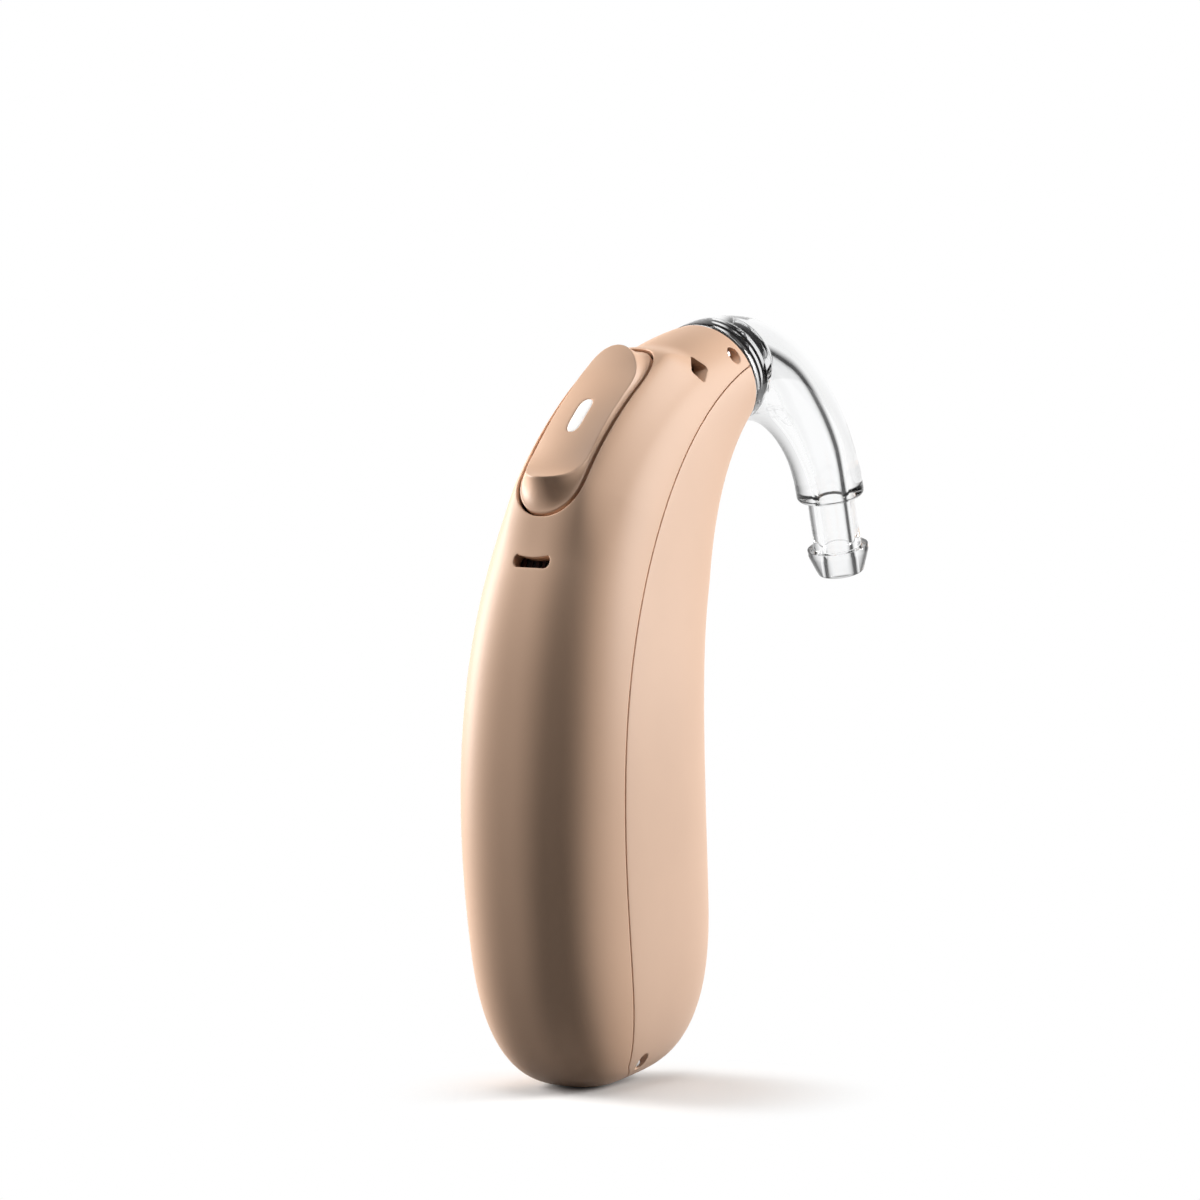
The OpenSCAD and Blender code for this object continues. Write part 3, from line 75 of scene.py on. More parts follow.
# Values of the part's source that the dressed pieces repeat, in millimetres and degrees
HOUSING_L = 39.6
WALL = 0.7
FOOT_WALL = 1.9
SEAM_GAP = 0.05
RIM_D = 5.95
ORIGIN = (8.09947, -0.125397)
LEAN = ([0, 0.25, 0.5, 0.75, 1], [-6.5, -6.5, 7.5, 36.5, 70])
SIZES = [0, 0.2, 0.45, 0.7, 1]
DEPTH = [11.7, 13.8, 13.4, 11.8, RIM_D]
THICK = [7.7, 8.6, 9.0, 7.7, RIM_D]
SEAM = [-0.37, -0.39, -0.41, -0.28, -0.28]
FOOT_SHARE = 7.9 / HOUSING_L
ROCKER_S, ROCKER_L, ROCKER_W = 30.9, 11.4, 3.5
ROCKER_GAP = 0.16
COLLAR_H = 0.6
COLLAR_SHARES, COLLAR_RISE = [0.62, 0.78, 0.86, 0.93], [1, 1, 1.05, 1.05]
COLLAR_FROM, COLLAR_TO = (0.62, 0.7), (0.88, 0.925)
FOOT_POWER, SPINE_POWER, EAR_POWER = 3.2, 3.1, 3.6  # of the curves that round the section and foot


def mix(a, b, t):
    return a + (b - a) * t


def unit(t):
    return np.clip(t, 0, 1)


def ease(t):
    return t * t * (3 - 2 * t)


def share_between(u, low, high):
    return unit((u - low) / (high - low))


def smooth(t, ks, vs):
    """The source's smooth curve through the values vs at the stations ks."""
    ks, vs, t = (np.asarray(v, float) for v in (ks, vs, t))
    n = len(ks)
    low, high = np.maximum(np.arange(n) - 1, 0), np.minimum(np.arange(n) + 1, n - 1)
    m = (vs[high] - vs[low]) / (ks[high] - ks[low])
    i = np.clip(np.searchsorted(ks, t, side="right") - 1, 0, n - 2)
    w = ks[i + 1] - ks[i]
    q = (t - ks[i]) / w
    return (
        vs[i] * (2 * q**3 - 3 * q * q + 1) + m[i] * w * (q**3 - 2 * q * q + q)
        + vs[i + 1] * (3 * q * q - 2 * q**3) + m[i + 1] * w * (q**3 - q * q)
    )


def heading(a):
    a = np.radians(a)
    return np.stack([np.sin(a), np.cos(a)], -1)


def along(lean, length, steps, start):
    """Points of a curve that leans by lean(share) from upright."""
    middle = (np.arange(steps) + 0.5) / steps
    return np.vstack([start, start + np.cumsum(heading(lean(middle)) * length / steps, axis=0)])


def between(line, t):
    k = unit(np.asarray(t, float)) * (len(line) - 1)
    return np.stack([np.interp(k, np.arange(len(line)), line[:, c]) for c in (0, 1)], -1)


def housing_lean(u):
    return smooth(u, *LEAN)


AXIS = along(housing_lean, HOUSING_L, 1600, np.zeros(2))


def half_depth(u):
    return smooth(u, SIZES, DEPTH) / 2


def half_thick(u):
    return smooth(u, SIZES, THICK) / 2


def round_off(u):
    curve = (1 - (1 - unit(u / FOOT_SHARE)) ** FOOT_POWER) ** (1 / FOOT_POWER)
    return np.where(u >= FOOT_SHARE, 1, curve)


def side_power(u, spine):
    return mix(np.where(spine, SPINE_POWER, EAR_POWER), 2, share_between(u, 0.7, 1))


def collar(u, y):
    """Height of the soft swell that the housing raises round the rocker."""
    low = 1.06 * ROCKER_W / 2
    high = 0.84 * half_thick(u)
    t = unit((np.abs(y) - low) / (high - low))
    side = 0.42 * share_between(u, 0.7, 0.88) ** 1.5 * np.minimum(np.abs(y) / low, 1) ** 2
    ends = ease(share_between(u, *COLLAR_FROM)) * (1 - ease(share_between(u, *COLLAR_TO)))
    rise = smooth(u, COLLAR_SHARES, COLLAR_RISE)
    return COLLAR_H * ends * (rise + side) * np.cos(np.pi / 2 * t) ** 2


def layer_share(u, layer):
    return mix(FOOT_WALL / HOUSING_L, 1, u) if layer else u


def layer_size(u, layer):
    v = layer_share(u, layer)
    return (half_depth(v) - layer * WALL) * round_off(u), (half_thick(v) - layer * WALL) * round_off(u)


def to_frame(c, lean, d, y):
    """A place at depth d from the point c of the middle line, in the object's frame."""
    a = np.radians(lean)
    x, z = c[..., 0] + d * np.cos(a) - ORIGIN[0], c[..., 1] - d * np.sin(a) - ORIGIN[1]
    return np.stack([x, y + 0 * d, z], -1)


def spot(u, d, y):
    return to_frame(between(AXIS, u), housing_lean(u), d, y)


def skin(u, layer, psi):
    """A point of the housing's skin: layer 0 is its outside, layer 1 the inside of its wall."""
    u, psi = np.asarray(u, float), np.asarray(psi, float)
    v = layer_share(u, layer)
    a, b = layer_size(u, layer)
    c, s = np.cos(np.radians(psi)), np.sin(np.radians(psi))
    power = side_power(v, c < 0)
    a, b = np.maximum(a, 1e-9), np.maximum(b, 1e-9)
    r = ((np.abs(c) / a) ** power + (np.abs(s) / b) ** power) ** (-1 / power)
    d, y = r * c, r * s
    return spot(v, np.where(d < 0, d - collar(v, y), d), y)


def edge_angle(u, layer, side):
    a, b = layer_size(u, layer)
    a, b = np.maximum(a, 1e-9), np.maximum(b, 1e-9)
    d = smooth(u, SIZES, SEAM) * np.sqrt(unit(u / 0.03)) * a + side * SEAM_GAP / 2
    p = side_power(layer_share(u, layer), True)
    return np.degrees(np.arctan2(b * (1 - np.minimum(0.999, np.abs(d) / a) ** p) ** (1 / p), d))


class Place:
    """A frame on the middle line: x is depth towards the ear, z runs to the rim."""

    def __init__(self, s, depth=0.0, turn=0.0):
        u = s / HOUSING_L
        self.start = spot(u, depth, 0.0)
        a = math.radians(float(housing_lean(u)) + turn)
        self.x = np.array([math.cos(a), 0, -math.sin(a)])
        self.z = np.array([math.sin(a), 0, math.cos(a)])

    def out(self, p):
        """From this frame's x, y, z to the object's frame."""
        p = np.asarray(p, float)
        return self.start + p[..., :1] * self.x + p[..., 1:2] * np.array([0, 1.0, 0]) + p[..., 2:3] * self.z

    def inside(self, p):
        q = p - self.start
        return np.stack([q @ self.x, q[..., 1], q @ self.z], -1)


# Mesh making: lists of points and faces, and the bands and fills between loops of points
class Mesh:
    def __init__(self):
        self.points = []
        self.faces = []
        self.count = 0

    def add(self, points):
        points = np.asarray(points, float).reshape(-1, 3)
        self.points.append(points)
        first = self.count
        self.count += len(points)
        return np.arange(first, self.count)

    def band(self, a, b, closed=True):
        n = len(a)
        for j in range(n if closed else n - 1):
            k = (j + 1) % n
            self.faces.append((a[j], b[j], b[k], a[k]))

    def fan(self, pole, ring, closed=True):
        n = len(ring)
        for j in range(n if closed else n - 1):
            self.faces.append((pole, ring[j], ring[(j + 1) % n]))

    def fill(self, flat, ids, keep):
        """Triangles over the flat points (with indices ids) whose middles keep() accepts."""
        result = delaunay_2d_cdt([Vector(p) for p in flat], keep.edges, [], 0, 1e-7)
        places, _, triangles, origins = result[:4]
        places = np.array([tuple(p) for p in places])
        tri = np.array(triangles)
        tri = tri[keep(places[tri].mean(1))]
        source = np.array([o[0] if o else -1 for o in origins])
        tri = source[tri]
        tri = tri[(tri >= 0).all(1)]
        ids = np.asarray(ids)
        self.faces.extend(map(tuple, ids[tri]))

    def object(self, name):
        mesh = bpy.data.meshes.new(name)
        mesh.from_pydata((np.vstack(self.points) * MM).tolist(), [], [list(map(int, f)) for f in self.faces])
        bm = bmesh.new()
        bm.from_mesh(mesh)
        bmesh.ops.remove_doubles(bm, verts=bm.verts, dist=MERGE)
        bmesh.ops.recalc_face_normals(bm, faces=bm.faces)
        loose = [v for v in bm.verts if not v.link_faces]
        bmesh.ops.delete(bm, geom=loose, context="VERTS")
        for f in bm.faces:
            f.smooth = True
        bm.to_mesh(mesh)
        bm.free()
        mesh.validate()
        obj = bpy.data.objects.new(name, mesh)
        bpy.context.scene.collection.objects.link(obj)
        return obj


class Region:
    """Keeps the points inside an outer loop and outside every hole."""

    def __init__(self, outer, holes, edges):
        self.outer = outer
        self.holes = holes
        self.edges = edges

    def __call__(self, p):
        ok = inside_loop(p, self.outer) if self.outer is not None else np.ones(len(p), bool)
        for h in self.holes:
            ok &= ~inside_loop(p, h)
        return ok


def inside_loop(p, loop):
    x, y = p[:, 0], p[:, 1]
    result = np.zeros(len(p), bool)
    a = loop
    b = np.roll(loop, -1, axis=0)
    for (xa, ya), (xb, yb) in zip(a, b):
        if ya == yb:
            continue
        cross = ((ya > y) != (yb > y)) & (x < (xb - xa) * (y - ya) / (yb - ya) + xa)
        result ^= cross
    return result


def ring_edges(ids):
    return [(int(ids[i]), int(ids[(i + 1) % len(ids)])) for i in range(len(ids))]


def fillet(points, radius, steps=5):
    """The polyline with each inner corner rounded; radius may be one value or one per corner."""
    points = [np.asarray(p, float) for p in points]
    radii = [radius] * len(points) if np.isscalar(radius) else list(radius)
    out = [points[0]]
    for i in range(1, len(points) - 1):
        p, a, b = points[i], points[i - 1], points[i + 1]
        da, db = a - p, b - p
        la, lb = np.linalg.norm(da), np.linalg.norm(db)
        r = min(radii[i], 0.45 * la, 0.45 * lb)
        if r < 1e-4:
            out.append(p)
            continue
        pa, pb = p + da / la * r, p + db / lb * r
        for k in range(steps + 1):
            t = k / steps
            out.append((1 - t) ** 2 * pa + 2 * t * (1 - t) * p + t * t * pb)
    out.append(points[-1])
    return out


def lathe(mesh, place, profile, sides, closed=True):
    """Turns a profile of (radius, z) about a place's z axis; closed joins its two ends."""
    g = 2 * np.pi * np.arange(sides) / sides
    rings = [
        mesh.add(place.out(np.stack([r * np.cos(g), r * np.sin(g), np.full(sides, z)], -1)))
        for r, z in profile
    ]
    for a, b in zip(rings, rings[1:] + (rings[:1] if closed else [])):
        mesh.band(a, b)
    return rings


# Rocker outlines, in the rocker's frame: along it, then across
SIDES = 192
ARC = SIDES // 6
ROCKER_U = ROCKER_S / HOUSING_L
ROCKER_LEAN = float(housing_lean(ROCKER_U))
ROCKER = Place(ROCKER_S, -float(half_depth(ROCKER_U)))


def outline(l, w, arcs, powers):
    points = []
    high, low = l / 2 - arcs[1], -l / 2 + arcs[0]
    for k in range(SIDES):
        m = SIDES - k if k > SIDES / 2 else k
        side = -1 if k > SIDES / 2 else 1
        q = math.radians(90 * (m % ARC) / ARC)
        if m < ARC:
            p = (high + arcs[1] * math.cos(q) ** (2 / powers[1]), side * w / 2 * math.sin(q) ** (2 / powers[1]))
        elif m < 2 * ARC:
            p = (mix(high, low, m / ARC - 1), side * w / 2)
        elif m < 3 * ARC:
            p = (low - arcs[0] * math.sin(q) ** (2 / powers[0]), side * w / 2 * math.cos(q) ** (2 / powers[0]))
        else:
            p = (-l / 2, 0)
        points.append(p)
    return np.array(points)


ROCKER_SHIFT, ROCKER_DEEP = -0.375, 0.85
PAD_L, PAD_W, PAD_SHIFT = 9.5, 3.24, -0.11
WINDOW_L, WINDOW_W, WINDOW_END, WINDOW_SHIFT = 2.3, 0.72, 0.8, -0.25


def rocker_outline(grow):
    loop = outline(ROCKER_L + 2 * grow, ROCKER_W + 2 * grow, (2.0 + grow, 3.0 + grow), (2.2, 2.5))
    return loop + [ROCKER_SHIFT, 0]


def pad_outline(inset):
    loop = outline(PAD_L - 2 * inset, PAD_W - 2 * inset, (2.07 - inset, 2.37 - inset), (2.2, 2))
    return loop + [PAD_SHIFT, 0]


def window_outline(grow):
    ends = (WINDOW_END + grow, WINDOW_END + grow)
    return outline(WINDOW_L + 2 * grow, WINDOW_W + 2 * grow, ends, (2.6, 2.6)) + [WINDOW_SHIFT, 0]


PAD_SHARES = [-0.5, -0.44, -0.387, -0.283, -0.125, 0.027, 0.169, 0.295, 0.369, 0.5]
RIM_RISE = [1.77, 1.33, 1.06, 0.82, 0.71, 0.53, 0.25, 0.01, -0.03, 0.17]
CREST_RISE = [1.78, 1.37, 1.16, 1.03, 0.9, 0.72, 0.41, 0.13, 0.07, 0.17]


def pad_at(z):
    return np.clip((z - PAD_SHIFT) / PAD_L, -0.5, 0.5)


def rim_height(z):
    return smooth(pad_at(z), PAD_SHARES, RIM_RISE)


def crest_height(z):
    return smooth(pad_at(z), PAD_SHARES, CREST_RISE)


def spine_table():
    u = np.linspace(0.55, 0.99, 441)
    p = spot(u, -half_depth(u), np.zeros_like(u)) - spot(ROCKER_U, -half_depth(ROCKER_U), 0.0)
    return p @ ROCKER.z, p @ ROCKER.x, u


SPINE_Z, SPINE_X, SPINE_U = spine_table()


def spine_depth(z):
    return np.interp(z, SPINE_Z, SPINE_X)


def shell_depth(z, y):
    """Depth of the housing's outside in the rocker's frame."""
    u = np.interp(z, SPINE_Z, SPINE_U)
    a, b, power = half_depth(u), half_thick(u), side_power(u, True)
    drop = a * (1 - (1 - (np.abs(y) / b) ** power) ** (1 / power))
    return spine_depth(z) + drop * np.cos(np.radians(housing_lean(u) - ROCKER_LEAN)) - collar(u, y)


def pad_depth(z, y):
    """Depth of the pad's top: higher along its middle than at its rim."""
    half = np.interp(z, PAD_HALF[0], PAD_HALF[1])
    q = np.clip(np.abs(y) / np.maximum(half, 1e-3), 0, 1)
    return -mix(crest_height(z), rim_height(z), q * q)


def pad_half_table():
    loop = pad_outline(0)[: SIDES // 2 + 1]
    order = np.argsort(loop[:, 0])
    return loop[order, 0], loop[order, 1]


PAD_HALF = pad_half_table()


def local(loop, depth):
    """Loop points (along, across) at a depth, in the rocker's frame's x, y, z."""
    return np.stack([depth + 0 * loop[:, 0], loop[:, 1], loop[:, 0]], -1)


def grid(low, high, step):
    nx = max(2, int((high[0] - low[0]) / step))
    ny = max(2, int((high[1] - low[1]) / step))
    x, y = np.meshgrid(np.linspace(low[0], high[0], nx), np.linspace(low[1], high[1], ny), indexing="ij")
    return np.stack([x.ravel(), y.ravel()], -1)


def rocker_piece():
    m = Mesh()
    base = rocker_outline(0)
    edge_depth = shell_depth(base[:, 0], base[:, 1]) + 0.05
    rings = []
    deep = spine_depth(base[:, 0]) + ROCKER_DEEP
    rings.append(m.add(ROCKER.out(local(base, deep))))
    rings.append(m.add(ROCKER.out(local(base, mix(edge_depth, deep, 0.3)))))
    lip = 0.06
    pad = pad_outline(0)
    pad_edge = -rim_height(pad[:, 0])
    for q in np.radians([0, 22.5, 45, 67.5]):
        loop = rocker_outline(-lip * (1 - math.cos(q)))
        rings.append(m.add(ROCKER.out(local(loop, edge_depth + lip * (1 - math.sin(q))))))
    for t in np.linspace(0.04, 0.985, 22):
        loop = mix(base, pad, t)
        rise = 0.24 * t + 0.76 * t * t
        rings.append(m.add(ROCKER.out(local(loop, mix(edge_depth, pad_edge, rise)))))
    crest = 0.045
    for inset, sink in ((0.0, 0.028), (0.008, 0.012), (0.022, 0.003), (crest, 0)):
        loop = pad_outline(inset)
        depth = pad_depth(loop[:, 0], loop[:, 1]) + sink
        rings.append(m.add(ROCKER.out(local(loop, depth))))
    for a, b in zip(rings, rings[1:]):
        m.band(a, b)
    pole = m.add(ROCKER.out([[float(spine_depth(0)) + ROCKER_DEEP, 0, 0]]))[0]
    m.fan(pole, rings[0])

    inner = pad_outline(crest)
    wall = []
    for grow, sink in ((0.012, 0.9), (0.012, 0.05), (0.018, 0.02), (0.032, 0.005), (0.055, 0)):
        loop = window_outline(grow)
        wall.append(m.add(ROCKER.out(local(loop, pad_depth(loop[:, 0], loop[:, 1]) + sink))))
    for a, b in zip(wall, wall[1:]):
        m.band(a, b)
    hole = window_outline(0.055)
    floor = m.add(ROCKER.out([[0.2, 0, WINDOW_SHIFT]]))[0]
    m.fan(floor, wall[0])

    spread = grid(inner.min(0), inner.max(0), 0.11)
    clear = inside_loop(spread, pad_outline(crest + 0.05)) & ~inside_loop(spread, window_outline(0.12))
    spread = spread[clear]
    top = m.add(ROCKER.out(local(spread, pad_depth(spread[:, 0], spread[:, 1]))))
    ids = np.concatenate([rings[-1], wall[-1], top])
    flat = np.vstack([inner, hole, spread])
    edges = ring_edges(np.arange(SIDES)) + ring_edges(np.arange(SIDES, 2 * SIDES))
    m.fill(flat, ids, Region(inner, [hole], edges))
    return m.object("rocker_cap")


def window_piece():
    m = Mesh()
    rings = []
    for grow, sink in ((0.0, 1.1), (0.0, 0.06), (-0.006, 0.035), (-0.02, 0.018), (-0.045, 0.01)):
        loop = window_outline(grow)
        rings.append(m.add(ROCKER.out(local(loop, pad_depth(loop[:, 0], loop[:, 1]) + sink))))
    for a, b in zip(rings, rings[1:]):
        m.band(a, b)
    top = window_outline(-0.045)
    spread = grid(top.min(0), top.max(0), 0.08)
    spread = spread[inside_loop(spread, window_outline(-0.07))]
    face = m.add(ROCKER.out(local(spread, pad_depth(spread[:, 0], spread[:, 1]) + 0.008)))
    ids = np.concatenate([rings[-1], face])
    m.fill(np.vstack([top, spread]), ids, Region(top, [], ring_edges(np.arange(SIDES))))
    m.fan(m.add(ROCKER.out([[0.5, 0, WINDOW_SHIFT]]))[0], rings[0])
    return m.object("window_guide")


# The housing's shells, as a flat domain of (way along the spine, share across) with holes in it
def way_table():
    c = np.linspace(0, 1, 500)
    foot = FOOT_SHARE * (1 - (1 - c**FOOT_POWER) ** (1 / FOOT_POWER))
    u = np.concatenate([foot, np.linspace(FOOT_SHARE, 1, 1500)[1:]])
    p = skin(u, 0, np.full_like(u, 180))
    q = skin(u, 0, np.full_like(u, 100))
    step = (np.linalg.norm(np.diff(p, axis=0), axis=1) + np.linalg.norm(np.diff(q, axis=0), axis=1)) / 2
    return np.concatenate([[0], np.cumsum(step)]), u


WAY, WAY_U = way_table()
HALF_WIDTH = {-1: 8.0, 1: 10.0}


def to_flat(u, psi, layer, side):
    e = edge_angle(u, layer, side)
    turned = np.mod(psi, 360) - 180 if side < 0 else (np.mod(psi + 180, 360) - 180)
    share = turned / (180 - e) if side < 0 else turned / e
    return np.stack([np.interp(u, WAY_U, WAY), share * HALF_WIDTH[side]], -1)


def to_psi(u, share, layer, side):
    e = edge_angle(u, layer, side)
    return 180 + (180 - e) * share if side < 0 else e * share


def locate(targets, flat, guess, layer):
    """Places (u, psi) on the skin that flat() takes to the targets."""
    p = np.ones((len(targets), 1)) * np.asarray(guess, float)
    for _ in range(16):
        f = flat(skin(p[:, 0], layer, p[:, 1]))
        fu = (flat(skin(p[:, 0] + 1e-5, layer, p[:, 1])) - f) / 1e-5
        fa = (flat(skin(p[:, 0], layer, p[:, 1] + 1e-3)) - f) / 1e-3
        r = targets - f
        det = fu[:, 0] * fa[:, 1] - fu[:, 1] * fa[:, 0]
        det = np.where(np.abs(det) < 1e-12, 1e-12, det)
        du = (r[:, 0] * fa[:, 1] - r[:, 1] * fa[:, 0]) / det
        da = (fu[:, 0] * r[:, 1] - fu[:, 1] * r[:, 0]) / det
        p[:, 0] += np.clip(du, -0.05, 0.05)
        p[:, 1] += np.clip(da, -15, 15)
    return p


def circle(r, n=48):
    g = 2 * np.pi * np.arange(n) / n
    return np.stack([r * np.cos(g), r * np.sin(g)], -1)


def rounded_box(w, h, r, n=12):
    out = []
    x, y = w / 2 - r, h / 2 - r
    for cx, cy, g0 in ((x, y, 0), (-x, y, 90), (-x, -y, 180), (x, -y, 270)):
        for i in range(n):
            g = math.radians(g0 + 90 * i / (n - 1))
            out.append((cx + r * math.cos(g), cy + r * math.sin(g)))
    return np.array(out)


def grown(loop, grow):
    """The loop moved outwards along its own normals; it runs anticlockwise."""
    t = np.roll(loop, -1, axis=0) - np.roll(loop, 1, axis=0)
    t /= np.linalg.norm(t, axis=1)[:, None]
    return loop + grow * np.stack([t[:, 1], -t[:, 0]], -1)


def slot_loop():
    """The rear slot: rounded ends, with an upper side that sags in the middle."""
    l, h, sag = 2.1, 0.7, 0.17
    r = 0.42 * h
    big = (l * l / 4 + sag * sag) / (2 * sag)
    low = [(-l / 2 + r + (l - 2 * r) * i / 15, -h / 2) for i in range(16)]
    x, y = l / 2 - r, h / 2 - r
    right = [(x + r * math.sin(q), -y - r * math.cos(q)) for q in np.radians(np.linspace(10, 90, 9))]
    turn = [(x + r * math.cos(q), y + r * math.sin(q)) for q in np.radians(np.linspace(0, 65, 8))]
    x0 = turn[-1][0]
    arc = []
    for x in np.linspace(x0 - 0.06, -x0 + 0.06, 24):
        arc.append((x, h / 2 - sag + big - math.sqrt(big * big - x * x)))
    left = [(-x, y) for x, y in reversed(turn)] + [(-x, y) for x, y in reversed(right)]
    return np.array(low + right + turn + arc + left)


class Hole:
    """A cut through the wall: loops round it on the skin, and the way they sink into it."""

    def __init__(self, place, loop, axes, guess, lip, floor=None):
        self.place, self.axes, self.guess, self.lip, self.floor = place, axes, guess, lip, floor
        self.loop = loop

    def flat(self, p):
        q = self.place.inside(p)
        return q[..., list(self.axes)]

    def skin_ring(self, grow, layer):
        target = self.loop(grow)
        return locate(target, self.flat, self.guess, layer)


def side_hole(s, depth, turn, loop, psi, lip, floor=None):
    return Hole(Place(s, depth, turn), loop, (0, 2), (s / HOUSING_L, psi), lip, floor)


SLOT, SLOT_S = slot_loop(), 24.55
FRONT_PORT_S, FRONT_PORT_DEPTH, FRONT_PORT_TURN = 36.05, -2.75, -11
MOUTH_R, PIN_HOLE_R, PIN_HOLE_DEEP = 0.41, 0.31, 0.6
UPPER_PIN = (HOUSING_L - 0.76, -1.73, 4.1)
LOWER_PIN = (1.2, -0.5, 5.1)
CONTACTS = (10.1 - 5.4, 10.1 + 4.9)


def mouth(pin, psi):
    return side_hole(pin[0], pin[1], 0, lambda g: circle(MOUTH_R + g), psi, 0.05, pin[2] / 2)


def front_port(psi):
    return side_hole(
        FRONT_PORT_S, FRONT_PORT_DEPTH, FRONT_PORT_TURN,
        lambda g: rounded_box(0.88 + 2 * g, 1.05 + 2 * g, 0.17 + g), psi, 0.035,
    )


OUTER_HOLES = [
    Hole(ROCKER, lambda g: rocker_outline(ROCKER_GAP + g)[::-1], (2, 1), (ROCKER_U, 180), 0.09),
    Hole(Place(SLOT_S), lambda g: grown(SLOT, g)[:, ::-1][::-1], (2, 1), (SLOT_S / HOUSING_L, 180), 0.05),
    front_port(140),
    front_port(220),
    mouth(UPPER_PIN, 120),
    mouth(UPPER_PIN, 240),
]
INNER_HOLES = [
    mouth(LOWER_PIN, 95),
    mouth(LOWER_PIN, -95),
]


def contact_hole(s):
    u = s / HOUSING_L
    place = Place(s, float(half_depth(u) * round_off(u)))
    return Hole(place, lambda g: circle(0.71 + g), (1, 2), (u, 0), 0.04)


INNER_HOLES += [contact_hole(s) for s in CONTACTS]
LIP_ANGLES = np.radians([0, 15, 30, 45, 60, 75, 90])
EDGE_LIP = 0.05  # rounding of the seam's and the rim's edges
LIP_SHARES = np.array([0.3, 0.6, 0.85, 1.0])
ROW_STEP, INSIDE_COLUMNS = 3, 61  # the inside's mesh is coarser than the outside's


def hole_rings(mesh, hole):
    """The loops round one hole of the outside, from the skin down into the wall."""
    lip = hole.lip
    outer = hole.skin_ring(lip, 0)
    rings = []
    if hole.axes == (1, 2):
        into = -hole.place.x
    elif 1 in hole.axes:
        into = hole.place.x
    else:
        into = np.array([0, -1.0 if math.sin(math.radians(hole.guess[1])) > 0 else 1.0, 0])
    for q in LIP_ANGLES:
        grow = lip * (1 - math.sin(q))
        p = hole.skin_ring(grow, 0)
        xyz = skin(p[:, 0], 0, p[:, 1]) + into * lip * (1 - math.cos(q))
        rings.append(mesh.add(xyz))
    for a, b in zip(rings, rings[1:]):
        mesh.band(a, b)
    return rings, outer, into


def shell_piece(name, side, holes, rows_at, columns):
    m = Mesh()
    ends = []
    lip = EDGE_LIP
    for layer in (0, 1):
        rows = rows_at if layer == 0 else rows_at[::ROW_STEP]
        if layer == 1 and rows[-1] != rows_at[-1]:
            rows = np.append(rows, rows_at[-1])
        u = np.interp(rows, WAY, WAY_U)
        shares = columns if layer == 0 else np.linspace(-1, 1, INSIDE_COLUMNS)
        uu, qq = np.meshgrid(u, shares, indexing="ij")
        psi = to_psi(uu, qq, layer, side)
        xyz = skin(uu, layer, psi)
        width = HALF_WIDTH[side]
        if layer == 0:
            # the seam's edges and the rim's edge are rounded
            middle = spot(uu, 0 * uu, 0 * uu)
            inward = middle - xyz
            inward /= np.linalg.norm(inward, axis=-1)[..., None]
            off = np.clip((1 - np.abs(qq)) * width, 0, lip)
            sink = lip - np.sqrt(np.maximum(lip * lip - (lip - off) ** 2, 0))
            rim_off = np.clip((rows[-1] - rows)[:, None] + 0 * qq, 0, lip)
            sink = np.maximum(sink, lip - np.sqrt(np.maximum(lip * lip - (lip - rim_off) ** 2, 0)))
            xyz = xyz + inward * sink[..., None]
        flat = np.stack([np.interp(uu, WAY_U, WAY), qq * width], -1).reshape(-1, 2)
        keep = np.ones(len(flat), bool)
        loops, loop_ids = [], []
        hole_flat = []
        for hole in holes:
            if layer == 0:
                rings, outer, into = hole_rings(m, hole)
                hole.bottom = rings[-1]
                hole.into = into
                first = rings[0]
            else:
                outer = hole.skin_ring(0.0, 1)
                place = skin(outer[:, 0], 1, outer[:, 1])
                first = m.add(place)
                if hole.floor is None:
                    m.band(hole.bottom, first)
                else:
                    finish_mouth(m, hole)
                    continue
            f = to_flat(outer[:, 0], outer[:, 1], layer, side)
            hole_flat.append(f)
            loop_ids.append(first)
            centre = f.mean(0)
            margin = 0.07 if layer == 0 else 0.15
            grown_loop = centre + (f - centre) * (1 + margin / np.linalg.norm(f - centre, axis=1).mean())
            if hole.axes == (2, 1) and len(f) == SIDES:
                wide = hole.skin_ring(hole.lip + margin if layer == 0 else margin, layer)
                grown_loop = to_flat(wide[:, 0], wide[:, 1], layer, side)
            keep &= ~inside_loop(flat, grown_loop)
        n0 = int(keep.sum())
        ids_grid = m.add(xyz.reshape(-1, 3)[keep])
        ids = np.concatenate([ids_grid] + loop_ids)
        points = np.vstack([flat[keep]] + hole_flat)
        edges = []
        start = n0
        for f in hole_flat:
            edges += ring_edges(np.arange(start, start + len(f)))
            start += len(f)
        m.fill(points, ids, Region(None, hole_flat, edges))
        index = np.full(len(flat), -1)
        index[keep] = ids_grid
        index = index.reshape(uu.shape)
        pole = m.add(skin(np.array([0.0]), layer, np.array([180.0])))[0]
        m.fan(pole, index[0], closed=False)
        ends.append((index, pole))
    (a, pole_a), (b, pole_b) = ends
    # the seam faces and the rim face between the two layers
    for col in (0, -1):
        la, lb = a[:, col], b[:, col]
        for i in range(len(lb) - 1):
            j0, j1 = min(i * ROW_STEP, len(la) - 1), min((i + 1) * ROW_STEP, len(la) - 1)
            if i == len(lb) - 2:
                j1 = len(la) - 1
            m.faces.append(tuple([lb[i]] + list(la[j0 : j1 + 1]) + [lb[i + 1]]))
        m.faces.append((pole_a, la[0], lb[0], pole_b))
    la, lb = a[-1], b[-1]
    qa, qb = columns, np.linspace(-1, 1, INSIDE_COLUMNS)
    j = 0
    for i in range(len(qb) - 1):
        k = j
        while k < len(qa) - 1 and (qa[k + 1] <= qb[i + 1] + 1e-9 or i == len(qb) - 2):
            k += 1
        m.faces.append(tuple([lb[i]] + list(la[j : k + 1]) + [lb[i + 1]]))
        j = k
    return m.object(name)


